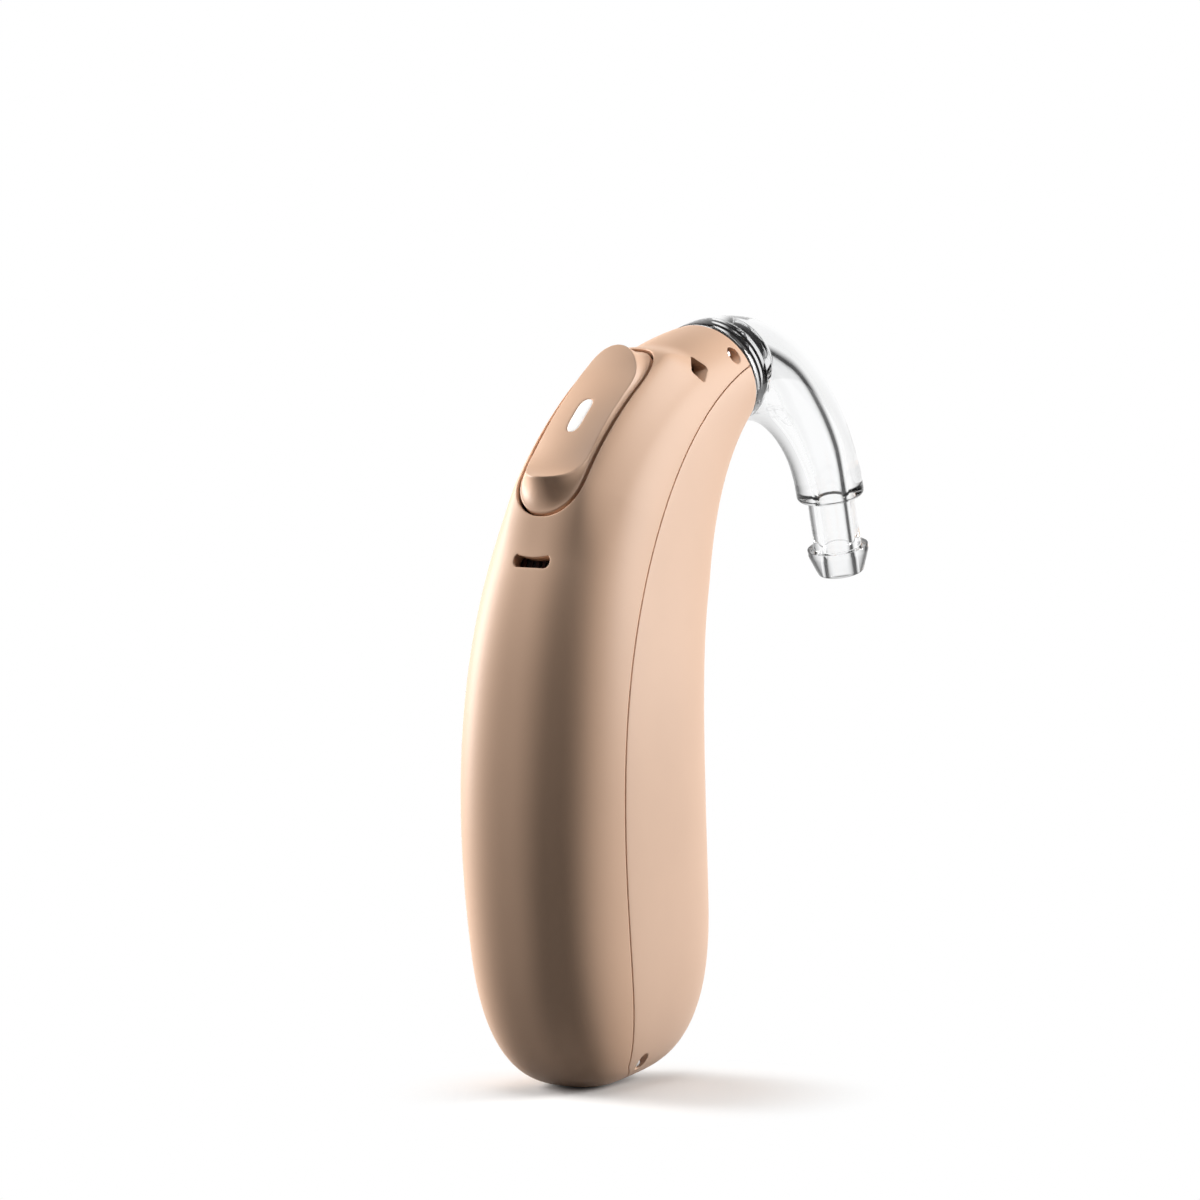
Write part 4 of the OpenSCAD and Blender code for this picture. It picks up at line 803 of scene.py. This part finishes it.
def finish_mouth(m, hole):
    """A pin's counterbored mouth: its wall down to the pin's end, a flat step and the pin's hole."""
    side = -hole.into[1]
    rings = [hole.bottom]
    for r, y in (
        (MOUTH_R, hole.floor + 0.03), (0.40, hole.floor), (0.325, hole.floor),
        (PIN_HOLE_R, hole.floor - 0.02), (PIN_HOLE_R, hole.floor - PIN_HOLE_DEEP),
    ):
        c = circle(r)
        rings.append(m.add(hole.place.out(np.stack([c[:, 0], np.full(len(c), side * y), c[:, 1]], -1))))
    for a, b in zip(rings, rings[1:]):
        m.band(a, b)
    centre = m.add(hole.place.out([[0, side * (hole.floor - PIN_HOLE_DEEP), 0]]))[0]
    m.fan(centre, rings[-1])


def rows_between(fine):
    way_fine = float(np.interp(0.6, WAY_U, WAY))
    end = WAY[-1]
    low = np.arange(0.25, way_fine, 0.24)
    high = np.linspace(way_fine, end - EDGE_LIP, int((end - EDGE_LIP - way_fine) / fine))
    lip = end - EDGE_LIP + EDGE_LIP * LIP_SHARES
    return np.concatenate([low, high, lip])


def columns_of(side, step):
    w = HALF_WIDTH[side]
    inner = np.linspace(-(w - EDGE_LIP), w - EDGE_LIP, int(2 * w / step))
    lip = w - EDGE_LIP + EDGE_LIP * LIP_SHARES
    return np.concatenate([-lip[::-1], inner, lip]) / w


# Nozzle, pins and hook
RIM = Place(HOUSING_L)
RIDGE_L, RIDGE_D, RIDGE_END_D, ROOT = 1.5, 5.3, 4.6, 0.03
SPOUT_D, SPOUT_L, STUB_L = 2.3, 1.45, 2.4
NOZZLE_BORE_R = 0.6


def ridge_at(z):
    return mix(RIDGE_D, RIDGE_END_D, z / RIDGE_L) / 2


def nozzle_piece():
    m = Mesh()
    stub = RIM_D / 2 - WALL - 0.08
    pitch = (RIDGE_L - ROOT) / 3
    profile = [(NOZZLE_BORE_R, -STUB_L), (stub - 0.15, -STUB_L), (stub, -STUB_L + 0.15), (stub, ROOT)]
    for i in range(3):
        z = ROOT + i * pitch
        for share, deep in ((0, 1), (0.3, 1), (0.5, 0), (0.85, 0), (1, 1)):
            profile.append((ridge_at(z + pitch * share) - 0.14 * deep, z + pitch * share))
    profile += [
        (RIDGE_END_D / 2 - 0.28, RIDGE_L + 0.05),
        (SPOUT_D / 2, RIDGE_L + 0.05),
        (SPOUT_D / 2, RIDGE_L + SPOUT_L - 0.25),
        (SPOUT_D / 2 - 0.125, RIDGE_L + SPOUT_L),
        (NOZZLE_BORE_R, RIDGE_L + SPOUT_L),
        (NOZZLE_BORE_R, -STUB_L),
    ]
    lathe(m, RIM, fillet(profile, 0.06, 4)[:-1], 128)
    return m.object("nozzle_turned")


PIN_PROUD, PIN_SIDES = 0.24, 40  # the shown pins are longer than the solids at each end


def pin_piece(name, pin):
    m = Mesh()
    s, depth, length = pin
    place = Place(s, depth)
    half = length / 2 + PIN_PROUD
    dome = ((0.0, 0), (0.1, 0.01), (0.19, 0.045), (0.26, 0.11), (0.295, 0.18), (0.3, 0.25))
    profile = [(r, rise - half) for r, rise in dome]
    profile = profile + [(r, -z) for r, z in reversed(profile)]
    g = 2 * np.pi * np.arange(PIN_SIDES) / PIN_SIDES
    rings = []
    for r, y in profile:
        r = max(r, 1e-3)
        rings.append(m.add(place.out(np.stack([r * np.cos(g), np.full(PIN_SIDES, y), r * np.sin(g)], -1))))
    for a, b in zip(rings, rings[1:]):
        m.band(a, b)
    m.faces.append(tuple(rings[0]))
    m.faces.append(tuple(rings[-1]))
    return m.object(name)


HOOK_L, TIP_LEAN, HOOK_END_D, TIP_L = 15.6, 165, 3.56, 4.2
STEM_D, BARB_D, BARB_L, TIP_END_D, TIP_BORE_D = 2.5, 3.22, 1.45, 2.4, 1.3


BORE_R = 0.72
GRIP = 0.06  # the shown socket is tighter than the ridges, so no film of air shows


def hook_lean(t):
    turns = mix(70, TIP_LEAN, np.array([0, 0.145, 0.372, 0.653, 1]))
    return smooth(t, [0, 0.1, 0.334, 0.669, 1], turns)


def hook_r(t):
    return mix(HOOK_END_D, RIM_D, smooth(t, [0, 0.13, 0.27, 0.53, 0.8, 1], [1, 0.84, 0.7, 0.27, 0.03, 0])) / 2


HOOK = along(hook_lean, HOOK_L, 1200, AXIS[-1])


def hook_ring(mesh, t, r, sides):
    g = 2 * np.pi * (np.arange(sides) + 0.5) / sides
    c = between(HOOK, np.full(sides, t))
    return mesh.add(to_frame(c, np.full(sides, float(hook_lean(t))), r * np.cos(g), r * np.sin(g)))


def hook_piece():
    m = Mesh()
    n = 96
    g = 2 * np.pi * (np.arange(n) + 0.5) / n
    start = 0.1 / HOOK_L
    tip = Place(HOUSING_L)
    tip.start = to_frame(HOOK[-1], TIP_LEAN, 0.0, np.array(0.0))
    a = math.radians(TIP_LEAN)
    tip.x = np.array([math.cos(a), 0, -math.sin(a)])
    tip.z = np.array([math.sin(a), 0, math.cos(a)])

    def straight(place, r, z):
        return m.add(place.out(np.stack([r * np.cos(g), r * np.sin(g), np.full(n, z)], -1)))

    rings = []
    r0 = float(hook_r(start))
    for off, cut in ((0.0, 0.06), (0.008, 0.03), (0.03, 0.008)):
        rings.append(hook_ring(m, start + off / HOOK_L, r0 - cut, n))
    lip = 0.22
    end = 1 - lip / HOOK_L
    for t in np.linspace(start + 0.06 / HOOK_L, end, 90):
        rings.append(hook_ring(m, t, float(hook_r(t)), n))
    for q in np.radians([15, 30, 45, 60, 75, 90]):
        rings.append(straight(tip, HOOK_END_D / 2 - lip * (1 - math.cos(q)), -lip + lip * math.sin(q)))
    profile = [
        (HOOK_END_D / 2 - lip, 0),
        (STEM_D / 2, 0),
        (STEM_D / 2, TIP_L - BARB_L),
        (BARB_D / 2, TIP_L - BARB_L),
        (BARB_D / 2, TIP_L - BARB_L + 0.3),
        (TIP_END_D / 2, TIP_L),
        (TIP_BORE_D / 2, TIP_L),
        (TIP_BORE_D / 2, -0.2),
    ]
    rounded = fillet(profile, [0, 0.1, 0.06, 0.035, 0.09, 0.13, 0.1, 0], 5)
    for r, z in rounded[1:]:
        rings.append(straight(tip, r, z))
    for t in np.linspace(1 - 0.5 / HOOK_L, 0.215, 60):
        rings.append(hook_ring(m, t, mix(BORE_R, TIP_BORE_D / 2, float(ease(unit((t - 0.8) / 0.17)))), n))
    spout = SPOUT_D / 2 + 0.06
    cone_l = RIDGE_L + SPOUT_L + 0.15
    socket_l = RIDGE_L + 0.05 + 0.03 + 0.22 + 0.03
    inner = [
        (BORE_R, cone_l + 0.02),
        (spout, cone_l),
        (spout, socket_l),
        (ridge_at(socket_l) - GRIP, socket_l),
        (ridge_at(0.1) - GRIP, 0.1),
        (r0 - 0.06, 0.1),
    ]
    for r, z in fillet(inner, [0, 0.12, 0.05, 0.08, 0.03, 0], 4)[:-1]:
        rings.append(straight(RIM, r, z))
    for p, q in zip(rings, rings[1:] + rings[:1]):
        m.band(p, q)
    return m.object("hook_clear")


# Materials
def nodes_of(name):
    mat = bpy.data.materials.new(name)
    mat.use_nodes = True
    tree = mat.node_tree
    return mat, tree, tree.nodes["Principled BSDF"]


def noise(tree, scale, detail=3.0, stretch=None):
    coord = tree.nodes.new("ShaderNodeTexCoord")
    out = tree.nodes.new("ShaderNodeTexNoise")
    out.inputs["Scale"].default_value = scale
    out.inputs["Detail"].default_value = detail
    if stretch:
        mapping = tree.nodes.new("ShaderNodeMapping")
        mapping.inputs["Scale"].default_value = stretch
        tree.links.new(coord.outputs["Object"], mapping.inputs["Vector"])
        tree.links.new(mapping.outputs["Vector"], out.inputs["Vector"])
    else:
        tree.links.new(coord.outputs["Object"], out.inputs["Vector"])
    return out.outputs["Fac"]


def ramp(tree, value, low, high, at=(0.35, 0.65)):
    node = tree.nodes.new("ShaderNodeValToRGB")
    node.color_ramp.elements[0].position = at[0]
    node.color_ramp.elements[1].position = at[1]
    node.color_ramp.elements[0].color = (*low, 1)
    node.color_ramp.elements[1].color = (*high, 1)
    tree.links.new(value, node.inputs["Fac"])
    return node.outputs["Color"]


def spread_of(tree, value, low, high):
    node = tree.nodes.new("ShaderNodeMapRange")
    node.inputs["From Min"].default_value = 0.3
    node.inputs["From Max"].default_value = 0.7
    node.inputs["To Min"].default_value = low
    node.inputs["To Max"].default_value = high
    tree.links.new(value, node.inputs["Value"])
    return node.outputs["Result"]


def bump(tree, shader, value, strength, distance):
    node = tree.nodes.new("ShaderNodeBump")
    node.inputs["Strength"].default_value = strength
    node.inputs["Distance"].default_value = distance
    tree.links.new(value, node.inputs["Height"])
    tree.links.new(node.outputs["Normal"], shader.inputs["Normal"])


def finish(name, colour, rough, vary=0.04, size=600, grain=9000, depth=0.000004, strength=0.25, spread=0.05,
           stretch=None, **extra):
    """A moulded, turned or plated surface: faint colour drift, uneven roughness and a fine grain."""
    mat, tree, shader = nodes_of(name)
    for key, value in extra.items():
        shader.inputs[key.replace("_", " ")].default_value = value
    colour = np.array(colour)
    low, high = np.clip(colour * (1 - vary), 0, 1), np.clip(colour * (1 + vary), 0, 1)
    tree.links.new(ramp(tree, noise(tree, size), low, high), shader.inputs["Base Color"])
    fine = noise(tree, grain, 4.0, stretch)
    tree.links.new(spread_of(tree, fine, rough - spread, rough + spread), shader.inputs["Roughness"])
    bump(tree, shader, fine, strength, depth)
    return mat


def linear(r, g, b):
    c = np.array([r, g, b]) / 255
    return tuple(np.where(c <= 0.04045, c / 12.92, ((c + 0.055) / 1.055) ** 2.4))


SATIN = linear(226, 188, 160)
# painted light: the inner shell is the same plastic as SATIN, made paler and less saturated like its side where
# light falls on it
LIT_SIDE_SATIN = linear(231, 196, 171)


def wound(name, colour, scale):
    """Wire laid turn by turn."""
    mat, tree, shader = nodes_of(name)
    coord = tree.nodes.new("ShaderNodeTexCoord")
    wave = tree.nodes.new("ShaderNodeTexWave")
    wave.bands_direction = "Z"
    wave.inputs["Scale"].default_value = scale
    wave.inputs["Distortion"].default_value = 0.4
    tree.links.new(coord.outputs["Object"], wave.inputs["Vector"])
    low = tuple(v * 0.35 for v in colour)
    tree.links.new(ramp(tree, wave.outputs["Fac"], low, colour, (0.1, 0.6)), shader.inputs["Base Color"])
    shader.inputs["Metallic"].default_value = 0.8
    shader.inputs["Roughness"].default_value = 0.32
    bump(tree, shader, wave.outputs["Fac"], 0.6, 0.00004)
    return mat


def board_finish(name):
    """Green solder mask with fine copper runs under it and gold pads."""
    mat, tree, shader = nodes_of(name)
    coord = tree.nodes.new("ShaderNodeTexCoord")
    brick = tree.nodes.new("ShaderNodeTexBrick")
    brick.inputs["Scale"].default_value = 900
    brick.inputs["Mortar Size"].default_value = 0.012
    brick.inputs["Color1"].default_value = (0.012, 0.09, 0.035, 1)
    brick.inputs["Color2"].default_value = (0.016, 0.12, 0.045, 1)
    brick.inputs["Mortar"].default_value = (0.05, 0.22, 0.08, 1)
    tree.links.new(coord.outputs["Object"], brick.inputs["Vector"])
    tree.links.new(brick.outputs["Color"], shader.inputs["Base Color"])
    shader.inputs["Coat Weight"].default_value = 0.4
    fine = noise(tree, 6000)
    tree.links.new(spread_of(tree, fine, 0.28, 0.4), shader.inputs["Roughness"])
    bump(tree, shader, brick.outputs["Fac"], 0.3, 0.00001)
    return mat


def woven(name, colour):
    """A fine woven screen."""
    mat, tree, shader = nodes_of(name)
    coord = tree.nodes.new("ShaderNodeTexCoord")
    check = tree.nodes.new("ShaderNodeTexChecker")
    check.inputs["Scale"].default_value = 16000
    tree.links.new(coord.outputs["Object"], check.inputs["Vector"])
    low = tuple(v * 0.3 for v in colour)
    tree.links.new(ramp(tree, check.outputs["Fac"], low, colour), shader.inputs["Base Color"])
    shader.inputs["Roughness"].default_value = 0.6
    bump(tree, shader, check.outputs["Fac"], 0.5, 0.00001)
    return mat


MATS = {}


def surface(name, *values, make=finish, **extra):
    MATS[name] = make(name, *values, **extra)


surface("shell_satin", SATIN, 0.46, 0.012, 250, 16000, 0.000003, 0.2, 0.03, Specular_IOR_Level=0.3)
# painted light: the inner shell's paler tone is a lit copy of the outer shell's satin
surface("shell_pale", LIT_SIDE_SATIN, 0.48, 0.012, 250, 16000, 0.000003, 0.2, 0.03, Specular_IOR_Level=0.3)
surface("button_satin", SATIN, 0.44, 0.012, 300, 16000, 0.000003, 0.2, 0.03, Specular_IOR_Level=0.35)
surface("seam_bead", linear(110, 80, 62), 0.6, 0.1)
# painted glow: the light guide's emission makes it shine though no lamp lights it
surface("window", linear(246, 246, 244), 0.3, 0.01, 500, 9000, 0.000002, 0.1, 0.04,
        Emission_Strength=0.3, Emission_Color=(1, 1, 1, 1))
surface("steel", (0.72, 0.73, 0.75), 0.14, 0.03, 900, 12000, 0.000001, 0.2, 0.04, Metallic=1.0)
surface("sheet_steel", (0.55, 0.56, 0.58), 0.3, 0.05, 900, 9000, 0.000002, 0.3, 0.06, (1, 12, 1),
        Metallic=1.0)
surface("silicone_dark", (0.05, 0.045, 0.042), 0.62, 0.12)
surface("switch_case", (0.03, 0.032, 0.036), 0.45, 0.1)
surface("plunger_white", (0.78, 0.76, 0.7), 0.4, 0.03)
surface("led_lens", (0.85, 0.84, 0.66), 0.22, 0.02, Transmission_Weight=0.3)
surface("chassis_black", (0.035, 0.037, 0.04), 0.5, 0.15, 400)
surface("board_green", make=board_finish)
surface("chip_black", (0.018, 0.019, 0.021), 0.48, 0.15, 900, 12000, 0.00001, 0.4)
surface("copper_foil", (0.72, 0.33, 0.15), 0.3, 0.08, 500, 9000, 0.000004, 0.3, 0.08, Metallic=1.0)
surface("coil_wire", (0.55, 0.2, 0.08), 3200, make=wound)
surface("mic_can", (0.78, 0.62, 0.3), 0.28, 0.05, 700, 9000, 0.000003, 0.3, 0.07, Metallic=1.0)
# partly painted shade: the screens are dark, and their red-brown tint paints the shade and warm bounce light
# inside the ports
surface("screen_black", (0.08, 0.028, 0.02), make=woven)
surface("receiver_can", (0.5, 0.51, 0.53), 0.32, 0.06, 700, 9000, 0.000003, 0.3, 0.07, Metallic=1.0)
surface("boot_rubber", (0.09, 0.08, 0.075), 0.68, 0.12, 500, 7000, 0.00001, 0.4)
surface("tube_silicone", (0.75, 0.73, 0.68), 0.35, 0.03, Transmission_Weight=0.4)
surface("nozzle_black", (0.012, 0.012, 0.013), 0.12, 0.15, 900, 9000, 0.000001, 0.15, 0.05)
surface("hook_clear", (0.985, 0.988, 0.99), 0.03, 0.006, 300, 2500, 0.000001, 0.12, 0.02,
        Transmission_Weight=1.0, IOR=1.45, Specular_IOR_Level=0.2)
surface("cell_steel", (0.6, 0.61, 0.63), 0.25, 0.04, 900, 9000, 0.000002, 0.3, 0.06, (1, 10, 1), Metallic=1.0)
surface("gold_plate", (0.95, 0.68, 0.28), 0.2, 0.04, 900, 9000, 0.000002, 0.2, 0.06, Metallic=1.0)


def paint(obj, mat):
    obj.data.materials.clear()
    obj.data.materials.append(mat)


def dress_nodes():
    """Each CAD node takes its material."""
    for name, obj in nodes.items():
        mat = MATS.get(NODE_SLOTS.get(name))
        if mat:
            paint(obj, mat)


NODE_SLOTS = {
    "outer_shell": "shell_satin", "inner_shell": "shell_pale", "shell_seal": "seam_bead",
    "rocker_button": "button_satin", "light_guide": "window", "rocker_axle": "steel",
    "rocker_bracket": "sheet_steel", "rocker_seal": "silicone_dark", "upper_switch": "switch_case",
    "lower_switch": "switch_case", "upper_plunger": "plunger_white", "lower_plunger": "plunger_white",
    "indicator_led": "led_lens", "chassis": "chassis_black", "main_board": "board_green",
    "signal_processor": "chip_black", "radio_chip": "chip_black", "power_chip": "chip_black",
    "antenna": "copper_foil", "telecoil": "coil_wire", "front_microphone": "mic_can",
    "front_mic_gasket": "silicone_dark", "front_mic_screens": "screen_black", "rear_microphone": "mic_can",
    "rear_mic_gasket": "silicone_dark", "rear_mic_screen": "screen_black", "receiver": "receiver_can",
    "receiver_boot": "boot_rubber", "sound_tube": "tube_silicone", "nozzle": "nozzle_black",
    "upper_pin": "steel", "lower_pin": "steel", "hook_gasket": "silicone_dark", "earhook": "hook_clear",
    "rechargeable_cell": "cell_steel", "cell_clip": "sheet_steel", "charge_contacts": "gold_plate",
    "charge_leads": "copper_foil",
}
dress_nodes()


def place_piece(obj, slot, body, *replaced):
    paint(obj, MATS[slot])
    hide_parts(*replaced)
    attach(obj, body)


place_piece(
    shell_piece("shell_outer_skin", -1, OUTER_HOLES, rows_between(0.14), columns_of(-1, 0.15)),
    "shell_satin", "housing", "outer_shell",
)
place_piece(
    shell_piece("shell_inner_skin", 1, INNER_HOLES, rows_between(0.24), columns_of(1, 0.22)),
    "shell_pale", "housing", "inner_shell",
)
place_piece(rocker_piece(), "button_satin", "rocker", "rocker_button")
place_piece(window_piece(), "window", "rocker", "light_guide")
place_piece(nozzle_piece(), "nozzle_black", "housing", "nozzle")
place_piece(pin_piece("upper_pin_polished", UPPER_PIN), "steel", "housing", "upper_pin")
place_piece(pin_piece("lower_pin_polished", LOWER_PIN), "steel", "housing", "lower_pin")
place_piece(hook_piece(), "hook_clear", "hook", "earhook")


# Floor, white surround and lights
SHADOW_WIDE, SHADOW_DEEP = 13.0, 11.0
FLOOR_SIZE, FLOOR_MIDDLE = 0.3, (-0.0104, -0.0036, 0)


def floor():
    """White all round; only the zone below the object takes its shadow."""
    bpy.ops.mesh.primitive_plane_add(size=FLOOR_SIZE, location=FLOOR_MIDDLE, rotation=(0, 0, AZIMUTH))
    obj = bpy.context.object
    obj.name = "floor"
    mat, tree, shader = nodes_of("floor")
    out = tree.nodes["Material Output"]
    tree.nodes.remove(shader)
    near = tree.nodes.new("ShaderNodeBsdfDiffuse")
    near.inputs["Color"].default_value = (0.92, 0.92, 0.92, 1)
    dim = tree.nodes.new("ShaderNodeBsdfDiffuse")
    dim.inputs["Color"].default_value = (0.12, 0.12, 0.12, 1)
    white = tree.nodes.new("ShaderNodeEmission")
    white.inputs["Strength"].default_value = 1.0
    coord = tree.nodes.new("ShaderNodeTexCoord")
    mapping = tree.nodes.new("ShaderNodeMapping")
    mapping.inputs["Scale"].default_value = (1 / (SHADOW_WIDE * MM), 1 / (SHADOW_DEEP * MM), 1)
    tree.links.new(coord.outputs["Object"], mapping.inputs["Vector"])
    length = tree.nodes.new("ShaderNodeVectorMath")
    length.operation = "LENGTH"
    tree.links.new(mapping.outputs["Vector"], length.inputs[0])
    far = tree.nodes.new("ShaderNodeMapRange")
    far.interpolation_type = "SMOOTHSTEP"
    far.inputs["From Min"].default_value = 0.35
    far.inputs["From Max"].default_value = 1.0
    tree.links.new(length.outputs["Value"], far.inputs["Value"])
    seen = tree.nodes.new("ShaderNodeMixShader")
    tree.links.new(far.outputs["Result"], seen.inputs[0])
    tree.links.new(near.outputs[0], seen.inputs[1])
    tree.links.new(white.outputs[0], seen.inputs[2])
    rays = tree.nodes.new("ShaderNodeLightPath")
    any_ray = direct_rays(tree, rays)
    mixer = tree.nodes.new("ShaderNodeMixShader")
    tree.links.new(any_ray, mixer.inputs[0])
    tree.links.new(dim.outputs[0], mixer.inputs[1])
    tree.links.new(seen.outputs[0], mixer.inputs[2])
    tree.links.new(mixer.outputs[0], out.inputs["Surface"])
    paint(obj, mat)


def direct_rays(tree, rays):
    """1 for camera, glossy and transmission rays."""
    first = tree.nodes.new("ShaderNodeMath")
    first.operation = "MAXIMUM"
    tree.links.new(rays.outputs["Is Camera Ray"], first.inputs[0])
    tree.links.new(rays.outputs["Is Glossy Ray"], first.inputs[1])
    second = tree.nodes.new("ShaderNodeMath")
    second.operation = "MAXIMUM"
    tree.links.new(first.outputs[0], second.inputs[0])
    tree.links.new(rays.outputs["Is Transmission Ray"], second.inputs[1])
    return second.outputs[0]


AMBIENT = 0.02
TONES = ((0.4, 0.6), (0.56, 0.12), (0.8, 0.05), (0.9, 0.75), (0.95, 1.0))


def surround():
    world = bpy.data.worlds.new("world")
    bpy.context.scene.world = world
    world.use_nodes = True
    tree = world.node_tree
    soft = tree.nodes["Background"]
    soft.inputs["Color"].default_value = (1, 0.97, 0.95, 1)
    soft.inputs["Strength"].default_value = AMBIENT
    white = tree.nodes.new("ShaderNodeBackground")
    white.inputs["Color"].default_value = (1, 1, 1, 1)
    white.inputs["Strength"].default_value = 1.0
    studio = tree.nodes.new("ShaderNodeBackground")
    studio.inputs["Strength"].default_value = 1.0
    tree.links.new(studio_tone(tree), studio.inputs["Color"])
    rays = tree.nodes.new("ShaderNodeLightPath")
    clear = tree.nodes.new("ShaderNodeMixShader")
    tree.links.new(rays.outputs["Is Camera Ray"], clear.inputs[0])
    tree.links.new(studio.outputs[0], clear.inputs[1])
    tree.links.new(white.outputs[0], clear.inputs[2])
    mixer = tree.nodes.new("ShaderNodeMixShader")
    tree.links.new(direct_rays(tree, rays), mixer.inputs[0])
    tree.links.new(soft.outputs[0], mixer.inputs[1])
    tree.links.new(clear.outputs[0], mixer.inputs[2])
    tree.links.new(mixer.outputs[0], tree.nodes["World Output"].inputs["Surface"])


def studio_tone(tree):
    """The white room as gloss and glass see it, with a darker ring beside and above the backdrop."""
    coord = tree.nodes.new("ShaderNodeTexCoord")
    dot = tree.nodes.new("ShaderNodeVectorMath")
    dot.operation = "DOT_PRODUCT"
    dot.inputs[1].default_value = -BACK
    tree.links.new(coord.outputs["Generated"], dot.inputs[0])
    tone = tree.nodes.new("ShaderNodeValToRGB")
    e = tone.color_ramp.elements
    e[0].position, e[0].color = 0.0, (0.35, 0.35, 0.35, 1)
    e[1].position, e[1].color = 1.0, (1, 1, 1, 1)
    for place, value in TONES:
        stop = e.new(place)
        stop.color = (value, value, value, 1)
    half = tree.nodes.new("ShaderNodeMapRange")
    half.inputs["From Min"].default_value = -1
    half.inputs["From Max"].default_value = 1
    tree.links.new(dot.outputs["Value"], half.inputs["Value"])
    tree.links.new(half.outputs["Result"], tone.inputs["Fac"])
    return tone.outputs["Color"]


LAMP_AIM, LAMP_DISTANCE = Vector((-6, 0, 20)) * MM, 260
PANEL_TINT = (1, 0.98, 0.96)


def area(name, way, size, power, tint=(1, 1, 1)):
    """A soft panel that looks at the object from a way given as right, up, back of the camera."""
    data = bpy.data.lights.new(name, "AREA")
    data.shape = "RECTANGLE"
    data.size, data.size_y = size[0] * MM, size[1] * MM
    data.energy = power
    data.color = tint
    obj = bpy.data.objects.new(name, data)
    bpy.context.scene.collection.objects.link(obj)
    way = (RIGHT * way[0] + UP * way[1] + BACK * way[2]).normalized()
    obj.location = LAMP_AIM + way * LAMP_DISTANCE * MM
    obj.rotation_mode = "QUATERNION"
    obj.rotation_quaternion = (-way).to_track_quat("-Z", "Y")
    obj.visible_transmission = False


floor()
surround()
area("left_panel", (-1, 0.34, -0.46), (130, 180), 1.25, PANEL_TINT)
area("right_panel", (1, 0.33, -0.2), (120, 180), 0.86, PANEL_TINT)
area("top_panel", (-0.1, 1, 0.2), (160, 120), 0.28)

bpy.context.scene.view_settings.view_transform = "Standard"
